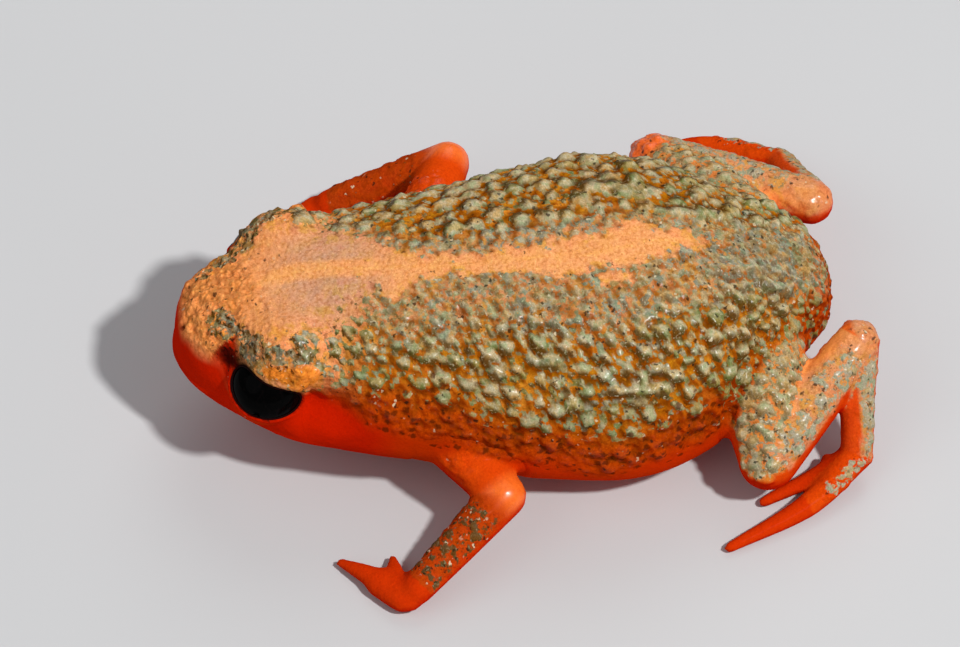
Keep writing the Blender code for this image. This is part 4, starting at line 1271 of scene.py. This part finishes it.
def skin_material(colours, grain):
    """Wet warty skin: ground colour and pigment from the mesh, broken up by noise and cells."""
    made, nodes, shader = new_material("Wet Toadlet Skin")
    place = object_place(nodes)

    def attribute(name, output="Fac"):
        return nodes.add("ShaderNodeAttribute", attribute_name=name).outputs[output]

    ground, cover = attribute("ground", "Color"), attribute("cover", "Color")
    pigment, wart, pit = attribute("pigment"), attribute("wart"), attribute("pit")
    dark, speck, grained = (attribute(name) for name in ("dark", "speck", "grain"))
    broad = nodes.noise(place, 2.2, 3.0)
    middle = nodes.noise(place, 7.0, 3.0, 0.6)
    fine = nodes.noise(place, 18.0, 2.0, 0.6)
    finest = nodes.noise(place, 34.0, 2.0, 0.6)

    ground = nodes.mix(nodes.ramp(broad, 0.35, 0.7, 0.0, 0.30), ground, tuple(colours.warm), "MULTIPLY")
    flecked = nodes.ramp(grained, 0.05, 0.55, 0.25, 1.0)
    shaded = nodes.math("MULTIPLY", nodes.ramp(fine, 0.42, 0.68, 0.0, 0.55), flecked)
    ground = nodes.mix(shaded, ground, tuple(colours.shade), "MULTIPLY")
    lit = nodes.math("MULTIPLY", nodes.ramp(finest, 0.50, 0.72, 0.0, 0.75), flecked)
    ground = nodes.mix(lit, ground, tuple(colours.light), "DODGE")
    hue = nodes.noise(place, 4.6, 2.0, 0.6)
    patched = nodes.ramp(pigment, 0.05, 0.35, 0.25, 0.9)
    for limit, tint in ((0.62, colours.pink_tint), (0.38, colours.ochre_tint)):
        share = nodes.math("MULTIPLY", nodes.ramp(hue, 0.50, limit), patched)
        ground = nodes.mix(share, ground, tuple(tint), "MULTIPLY")
    cover = nodes.mix(nodes.ramp(finest, 0.36, 0.60, 0.0, 0.60), cover, tuple(colours.cool), "MULTIPLY")
    flecks = nodes.math("MULTIPLY", nodes.ramp(fine, 0.56, 0.72, 0.0, 0.45), attribute("fleck"))
    cover = nodes.mix(flecks, cover, tuple(colours.pale))
    turned = nodes.noise(place, 5.3, 2.0, 0.6)
    for start, end, most, tint in ((0.52, 0.62, 0.8, colours.green_tint),
                                   (0.50, 0.40, 0.9, colours.tan_tint)):
        cover = nodes.mix(nodes.ramp(turned, start, end, 0.0, most), cover, tuple(tint), "MULTIPLY")
    small = nodes.noise(place, 11.0, 2.0, 0.6)
    ragged = nodes.math("ADD", nodes.about_middle(middle, 1.4), nodes.about_middle(small, 1.2))
    ragged = nodes.math("ADD", ragged, nodes.about_middle(fine, 0.6))
    calm = attribute("calm")
    ragged = nodes.math("MULTIPLY", ragged, nodes.ramp(calm, 0.0, 1.0, 0.65, 1.05))
    level = nodes.math("ADD", nodes.math("MULTIPLY", wart, nodes.ramp(calm, 0.0, 1.0, 0.42, 0.28)), ragged)
    need = nodes.math("SUBTRACT", 0.84, nodes.math("MULTIPLY", pigment, 1.05))
    blotch = nodes.ramp(nodes.math("SUBTRACT", level, need), -0.12, 0.12)
    blotch = nodes.math("MULTIPLY", blotch, nodes.ramp(pigment, 0.02, 0.12))
    colour = nodes.mix(blotch, ground, cover)
    # painted shade in the creases beside the warts and in the pits, in the Crevices colour
    crease_shade = nodes.math("MULTIPLY", nodes.ramp(small, 0.56, 0.66, 0.0, 0.55),
                         nodes.ramp(pigment, 0.3, 0.6))
    crease_shade = nodes.math("MULTIPLY", crease_shade, nodes.ramp(wart, 0.75, 0.25))
    pit = nodes.math("MAXIMUM", crease_shade, nodes.math("MULTIPLY", pit, 0.75))
    wet = nodes.add("ShaderNodeGroup", node_tree=grain)
    nodes.fill(wet.inputs["Place"], place)
    wet.inputs["Granules per mm"].default_value = 11.0
    nodes.fill(wet.inputs["Grain"], grained)
    # painted shade in the gaps between the granules
    gap = nodes.math("MULTIPLY", nodes.math("SUBTRACT", 1.0, wet.outputs["Tops"]),
                     nodes.ramp(grained, 0.70, 1.1, 0.0, 0.32))
    pit = nodes.math("MAXIMUM", pit, gap)
    colour = nodes.mix(pit, colour, tuple(colours.crevice_shade))

    warped = nodes.moved(place, 14.0, 0.12)
    for per_mm, amount, share, wide, narrow, soft, strength, paint in (
            (11.0, speck, 0.45, 0.42, 0.22, 0.06, 0.80, colours.black),
            (13.0, speck, 0.16, 0.42, 0.22, 0.06, 0.80, colours.pale),
            (6.5, attribute("spot"), 0.55, 0.52, 0.24, 0.05, 0.75, colours.dot)):
        spot = nodes.spots(warped, per_mm, nodes.math("MULTIPLY", amount, share), wide, narrow, soft)
        colour = nodes.mix(nodes.math("MULTIPLY", spot, strength), colour, tuple(paint))
    # dark skin and painted shade round the eyes and in the nostrils
    colour = nodes.mix(dark, colour, tuple(colours.dark_red_and_shade))
    nodes.fill(shader.inputs["Base Color"], colour)

    bump = nodes.add("ShaderNodeBump", in_Height=wet.outputs["Height"])
    bump.inputs["Strength"].default_value = 1.0
    bump.inputs["Distance"].default_value = 0.022 * MM
    nodes.fill(shader.inputs["Normal"], bump.outputs[0])
    nodes.fill(shader.inputs["Roughness"], nodes.ramp(middle, 0.3, 0.75, 0.22, 0.42))
    nodes.fill(shader.inputs["Coat Weight"], attribute("gloss"))
    shader.inputs["Coat Roughness"].default_value = 0.25
    shader.inputs["Specular IOR Level"].default_value = 0.0
    return made


def eye_material(colours):
    """A black, wet eye with the faintest brown flecks."""
    made, nodes, shader = new_material("Black Wet Eye")
    place = object_place(nodes)
    flecks = nodes.noise(place, 14.0, 3.0)
    colour = nodes.mix(nodes.ramp(flecks, 0.5, 0.75), tuple(colours.eye), tuple(colours.eye_fleck))
    nodes.fill(shader.inputs["Base Color"], colour)
    shader.inputs["Roughness"].default_value = 0.12
    shader.inputs["Specular IOR Level"].default_value = 0.02
    return made


def rim_material(colours, grain):
    """The dark red rim of the lids."""
    made, nodes, shader = new_material("Dark Lid Rim")
    place = object_place(nodes)
    shade = nodes.noise(place, 10.0, 2.0)
    colour = nodes.mix(nodes.ramp(shade, 0.35, 0.7), tuple(colours.rim), tuple(colours.dark_red_and_shade))
    nodes.fill(shader.inputs["Base Color"], colour)
    wet = nodes.add("ShaderNodeGroup", node_tree=grain)
    nodes.fill(wet.inputs["Place"], place)
    wet.inputs["Granules per mm"].default_value = 16.0
    wet.inputs["Grain"].default_value = 0.4
    bump = nodes.add("ShaderNodeBump", in_Height=wet.outputs["Height"])
    bump.inputs["Distance"].default_value = 0.01 * MM
    nodes.fill(shader.inputs["Normal"], bump.outputs[0])
    shader.inputs["Roughness"].default_value = 0.45
    shader.inputs["Specular IOR Level"].default_value = 0.03
    return made


def size_property(label, meaning, default, low, high):
    """A length in millimetres that a user may change."""
    return FloatProperty(name=label, description=meaning, default=default, min=low, max=high)


def colour_property(label, meaning, default):
    """A colour that a user may change."""
    return FloatVectorProperty(name=label, description=meaning, default=default, size=3, subtype="COLOR",
                               min=0.0, max=1.0)


class ToadletSizes(bpy.types.PropertyGroup):
    """Sizes of the skin's mesh."""

    voxel: size_property("Voxel", "Spacing of the skin's points, in millimetres", 0.053, 0.03, 0.3)
    seed: IntProperty(name="Seed", description="Chooses the scatter of the warts", default=11, min=0)
    rim: size_property("Lid rim", "Radius of the rim of the lids, in millimetres", 0.018, 0.01, 0.2)


class ToadletColours(bpy.types.PropertyGroup):
    """Colours of skin and eyes."""

    valley: colour_property("Valleys", "Skin between the warts", (0.52, 0.175, 0.008))
    warm_valley: colour_property("Warm valleys", "Patches between the warts", (0.72, 0.27, 0.025))
    back: colour_property("Back", "Skin beside the stripe", (0.64, 0.31, 0.13))
    stripe: colour_property("Stripe", "Stripe down the back", (0.92, 0.40, 0.15))
    stripe_line: colour_property("Stripe line", "Line in the middle of the stripe", (1.0, 0.46, 0.12))
    peach: colour_property("Head", "Head round the crown", (0.90, 0.36, 0.13))
    crown: colour_property("Crown", "Top of the head", (0.66, 0.34, 0.20))
    snout: colour_property("Snout", "Top of the snout", (1.0, 0.35, 0.10))
    flank: colour_property("Flank", "Lower flank", (0.50, 0.060, 0.001))
    brown: colour_property("Brown", "Dark patches of the lower flank", (0.20, 0.035, 0.001))
    red: colour_property("Underside", "Lips and limbs below", (0.58, 0.013, 0.0003))
    belly: colour_property("Belly", "Belly", (0.60, 0.030, 0.0005))
    limb: colour_property("Limbs", "Limbs above", (0.74, 0.065, 0.003))
    joint: colour_property("Joints", "Elbows and knees", (0.98, 0.17, 0.018))
    shank: colour_property("Shanks", "Fronts of the shanks", (0.98, 0.33, 0.085))
    forearm: colour_property("Forearms", "Tops of the forearms between the blotches", (0.46, 0.050, 0.004))
    thigh: colour_property("Thighs", "Thighs between the warts", (0.72, 0.26, 0.06))
    knob: colour_property("Knobs", "Knob behind each eye", (1.0, 0.30, 0.035))
    grey: colour_property("Grey", "Grey pigment", (0.44, 0.340, 0.190))
    blue_grey: colour_property("Blue grey", "Blue-grey pigment", (0.31, 0.30, 0.225))
    olive: colour_property("Olive", "Olive pigment", (0.33, 0.205, 0.04))
    tan: colour_property("Tan", "Tan pigment", (0.64, 0.40, 0.18))
    green: colour_property("Green", "Green pigment", (0.20, 0.205, 0.042))
    # Pale: the real pale flecks and specks, and the painted highlights on the warts' lit tops
    pale: colour_property("Pale", "Pale tops of the warts", (0.76, 0.64, 0.41))
    # Painted shade on the sides of the warts that face away from the light
    painted_shade_olive: colour_property("Dark olive", "Shaded sides of the warts", (0.130, 0.056, 0.004))
    arm_grey: colour_property("Arm grey", "Blotches of the arms", (0.13, 0.048, 0.006))
    leg_grey: colour_property("Leg grey", "Blotches of the legs", (0.48, 0.41, 0.30))
    # Painted shade in the pits and creases between the warts and granules
    crevice_shade: colour_property("Crevices", "Pits between the warts", (0.115, 0.030, 0.001))
    warm: colour_property("Warm tint", "Multiplies broad patches", (1.0, 0.80, 0.62))
    cool: colour_property("Cool tint", "Multiplies fine patches of pigment", (0.56, 0.60, 0.52))
    # Shade darkens random fine patches, and gives the painted shade on the warts' sides away from the light
    shade: colour_property("Shade", "Multiplies fine patches and shaded sides", (0.62, 0.41, 0.16))
    pink_tint: colour_property("Pink tint", "Multiplies patches of the ground", (1.0, 0.90, 1.0))
    ochre_tint: colour_property("Ochre tint", "Multiplies patches of the ground", (0.92, 0.98, 0.55))
    green_tint: colour_property("Green tint", "Multiplies patches of pigment", (0.70, 0.92, 0.80))
    tan_tint: colour_property("Tan tint", "Multiplies patches of pigment", (1.0, 0.84, 0.55))
    light: colour_property("Light flecks", "Brightens fine flecks", (0.30, 0.42, 0.42))
    black: colour_property("Specks", "Dark specks", (0.02, 0.012, 0.006))
    dot: colour_property("Dots", "Dark dots of the lower flank", (0.085, 0.012, 0.001))
    # Dark red: dark skin and painted shade round the eyes and in the nostrils, and the rims' dark red
    dark_red_and_shade: colour_property("Dark red", "Skin round the eyes", (0.008, 0.001, 0.001))
    rim: colour_property("Rim", "Rim of the lids", (0.010, 0.001, 0.001))
    eye: colour_property("Eye", "Eyeball", (0.001, 0.001, 0.001))
    eye_fleck: colour_property("Eye flecks", "Flecks in the eye", (0.003, 0.002, 0.002))


class ToadletStage(bpy.types.PropertyGroup):
    """Floor, lights and camera."""

    floor: colour_property("Floor", "Floor", (0.62, 0.62, 0.62))
    azimuth: FloatProperty(name="Azimuth", description="Camera's direction round the animal, in degrees",
                           default=81.5)
    elevation: FloatProperty(name="Elevation", description="Camera's height, in degrees", default=52.0)
    distance: FloatProperty(name="Distance", description="From camera to animal", default=0.150,
                            unit="LENGTH")
    width: FloatProperty(name="View width", description="Width of the view at the animal", default=0.016,
                         unit="LENGTH")


def dressed(name, mesh, points, masks, material, colours):
    """A piece of skin: its points in place, its paint on them and its material, riding on the body."""
    paint = paint_skin(points, masks, colours)
    grain = 0.55 + 0.7 * np.maximum(masks["snout"], masks["band"]) * (1 - masks["under"])
    grain *= 1 - 0.75 * masks["under"]
    paint["grain"] = grain * (1 - masks["limb"]) + (0.22 + 0.4 * masks["limb_top"]) * masks["limb"]
    paint["wart"] = masks["wart"]
    for key, values in paint.items():
        set_attribute(mesh, key, values)
    mesh.name = name
    made = finished(name, mesh, points, material)
    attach(made, "root")
    return made


def finished(name, mesh, points, material):
    """An object of the mesh, its points in place, smooth and with its material."""
    place_points(mesh, points)
    mesh.materials.clear()
    mesh.materials.append(material)
    mesh.shade_smooth()
    return linked(name, mesh)


def grain_group():
    """The shared effect, built once."""
    return bpy.data.node_groups.get("Wet Grain") or wet_grain_effect()


class ToadletOperator:
    """What all the operators share."""

    bl_options = {"REGISTER", "UNDO"}


class TOADLET_OT_skin(ToadletOperator, bpy.types.Operator):
    """Make the one skin of head, trunk and limbs"""

    bl_idname = "toadlet.skin"
    bl_label = "Skin"

    def execute(self, context):
        scene = context.scene
        mesh, points, masks, warts = make_skin_mesh(scene.toadlet_sizes)
        material = skin_material(scene.toadlet_colours, grain_group())
        skin = dressed("skin", mesh, points, masks, material, scene.toadlet_colours)
        flesh = [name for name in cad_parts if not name.startswith("eye_")]
        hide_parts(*flesh)
        angles = dense_angles(HIDE_LOWEST, HIDE_OVER, HIDE_UNDER)
        grid, masks = make_hide(HIDE_ROWS, angles, warts)
        vertices, quads, triangles = closed_grid(grid)
        hide = mesh_from("hide", vertices, quads, triangles)
        dressed("hide", hide, vertices, masks, material, scene.toadlet_colours)
        return {"FINISHED"}


class TOADLET_OT_eyes(ToadletOperator, bpy.types.Operator):
    """Make the two eyeballs"""

    bl_idname = "toadlet.eyes"
    bl_label = "Eyes"

    def execute(self, context):
        material = eye_material(context.scene.toadlet_colours)
        for side, place in zip(("left", "right"), both_sides(EYE_PLACE)):
            centre, outward, ahead, up = eye_frame(place)
            polar = np.linspace(0, math.pi, 49)
            turn = np.linspace(0, 2 * math.pi, 72, endpoint=False)
            ring = np.sin(polar)[:, None]
            grid = (outward * np.cos(polar)[:, None, None]
                    + ahead * (ring * np.cos(turn))[..., None] + up * (ring * np.sin(turn))[..., None])
            bulge = 1 + 0.03 * np.clip(np.cos(polar), 0, 1) ** 4
            points = centre + grid * EYE_RADIUS * bulge[:, None, None]
            vertices, quads, triangles = closed_grid(points)
            if side == "right":
                quads, triangles = quads[:, ::-1], triangles[:, ::-1]
            mesh = mesh_from("eyeball_" + side, vertices, quads, triangles)
            eye = finished("eyeball_" + side, mesh, vertices, material)
            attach(eye, "root")
            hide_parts("eye_" + side)
        return {"FINISHED"}


class TOADLET_OT_lid_rims(ToadletOperator, bpy.types.Operator):
    """Make the dark rims of the lids"""

    bl_idname = "toadlet.lid_rims"
    bl_label = "Lid rims"

    def execute(self, context):
        material = rim_material(context.scene.toadlet_colours, grain_group())
        size = context.scene.toadlet_sizes.rim
        for side, place, opening in zip(("left", "right"), both_sides(EYE_PLACE), OPENINGS):
            samples, sides = 120, 14
            centre, out = lid_curve(place, opening, samples)
            out /= np.linalg.norm(out, axis=1, keepdims=True)
            line = centre + out * (EYE_RADIUS + 0.012)
            along = np.roll(line, -1, axis=0) - np.roll(line, 1, axis=0)
            along /= np.linalg.norm(along, axis=1, keepdims=True)
            across = np.cross(along, out)
            turn = np.linspace(0, 2 * math.pi, sides, endpoint=False)
            ring = (across[:, None] * np.cos(turn)[None, :, None] * size * 1.35
                    + out[:, None] * np.sin(turn)[None, :, None] * size)
            points = line[:, None] + ring
            index = np.arange(samples * sides).reshape(samples, sides)
            after, beside = np.roll(index, -1, axis=0), np.roll(index, -1, axis=1)
            corner = np.roll(after, -1, axis=1)
            quads = np.stack([index, after, corner, beside], axis=-1).reshape(-1, 4)
            flat = points.reshape(-1, 3)
            first = quads[0]
            facing = np.cross(flat[first[1]] - flat[first[0]], flat[first[3]] - flat[first[0]])
            if facing @ (flat[first[0]] - line[0]) < 0:
                quads = quads[:, ::-1]
            rim = finished("lid_rim_" + side, mesh_from("lid_rim_" + side, flat, quads), flat, material)
            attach(rim, "root")
        return {"FINISHED"}


def directions(azimuth, elevation):
    """Unit vectors back towards a viewer, to its right and up, for a direction in degrees."""
    a, e = math.radians(azimuth), math.radians(elevation)
    back = Vector((math.sin(a) * math.cos(e), -math.cos(a) * math.cos(e), math.sin(e)))
    right = Vector((math.cos(a), math.sin(a), 0))
    return back, right, back.cross(right)


def aimed(name, data, target, azimuth, elevation, distance):
    """An object that looks at the target from a direction and distance."""
    back, right, up = directions(azimuth, elevation)
    made = bpy.data.objects.new(name, data)
    place = target + back * distance
    made.matrix_world = Matrix(((right.x, up.x, back.x, place.x), (right.y, up.y, back.y, place.y),
                                (right.z, up.z, back.z, place.z), (0, 0, 0, 1)))
    bpy.context.scene.collection.objects.link(made)
    return made


class TOADLET_OT_stage(ToadletOperator, bpy.types.Operator):
    """Make the floor, the lights and the camera"""

    bl_idname = "toadlet.stage"
    bl_label = "Stage"

    def execute(self, context):
        scene = context.scene
        stage = scene.toadlet_stage
        offset = Vector(row_offset())
        target = Vector(TARGET) * MM + offset

        corners = np.array([(-1, -1, 0), (1, -1, 0), (1, 1, 0), (-1, 1, 0)]) * FLOOR_HALF
        mesh = mesh_from("floor", corners, np.array([(0, 1, 2, 3)]))
        floor = linked("floor", mesh)
        made, nodes, shader = new_material("Pale Floor")
        place = object_place(nodes)
        tint = nodes.ramp(nodes.noise(place, 0.05, 2.0), 0.3, 0.7)
        nodes.fill(shader.inputs["Base Color"],
                   nodes.mix(tint, tuple(stage.floor), tuple(value * 0.97 for value in stage.floor)))
        shader.inputs["Roughness"].default_value = 0.7
        mesh.materials.append(made)

        for name, azimuth, elevation, size, power in LIGHTS:
            light = bpy.data.lights.new(name, "AREA")
            light.shape = "DISK"
            light.size = size
            light.energy = power
            aimed(name, light, target, azimuth, elevation, LIGHT_DISTANCE)

        world = bpy.data.worlds.new("Studio")
        world.use_nodes = True
        sky = world.node_tree.nodes["Background"]
        sky.inputs["Color"].default_value = (0.9, 0.93, 1.0, 1.0)
        sky.inputs["Strength"].default_value = 0.22
        scene.world = world

        lens = bpy.data.cameras.new("camera")
        lens.lens = lens.sensor_width * stage.distance / stage.width
        lens.clip_start, lens.clip_end = 0.001, 10.0
        scene.camera = aimed("camera", lens, target, stage.azimuth, stage.elevation, stage.distance)
        scene.view_settings.view_transform = "Standard"
        return {"FINISHED"}


class TOADLET_PT_panel(bpy.types.Panel):
    """The toadlet's operators and settings"""

    bl_idname = "TOADLET_PT_panel"
    bl_label = "Warty Toadlet"
    bl_space_type = "VIEW_3D"
    bl_region_type = "UI"
    bl_category = "Toadlet"

    def draw(self, context):
        for operator in OPERATORS:
            self.layout.operator(operator.bl_idname)
        for group in ("toadlet_sizes", "toadlet_colours", "toadlet_stage"):
            settings = getattr(context.scene, group)
            box = self.layout.box()
            for name in settings.__annotations__:
                box.prop(settings, name)


OPERATORS = (TOADLET_OT_skin, TOADLET_OT_eyes, TOADLET_OT_lid_rims, TOADLET_OT_stage)
GROUPS = {"toadlet_sizes": ToadletSizes, "toadlet_colours": ToadletColours, "toadlet_stage": ToadletStage}


def register():
    """Add the settings, operators and panel to Blender."""
    for kind in (*GROUPS.values(), *OPERATORS, TOADLET_PT_panel):
        bpy.utils.register_class(kind)
    for name, group in GROUPS.items():
        setattr(bpy.types.Scene, name, PointerProperty(type=group))


def unregister():
    """Take them out again."""
    for name in GROUPS:
        delattr(bpy.types.Scene, name)
    for kind in (TOADLET_PT_panel, *reversed(OPERATORS), *GROUPS.values()):
        bpy.utils.unregister_class(kind)


def clear_startup():
    """Take out the objects that Blender starts with, but nothing of the frame."""
    for name in ("Cube", "Light", "Camera"):
        item = bpy.data.objects.get(name)
        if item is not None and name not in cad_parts:
            bpy.data.objects.remove(item)


def main():
    """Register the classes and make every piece."""
    clear_startup()
    register()
    bpy.ops.toadlet.skin()
    bpy.ops.toadlet.eyes()
    bpy.ops.toadlet.lid_rims()
    bpy.ops.toadlet.stage()
    bpy.context.view_layer.update()


if __name__ == "__main__":
    main()
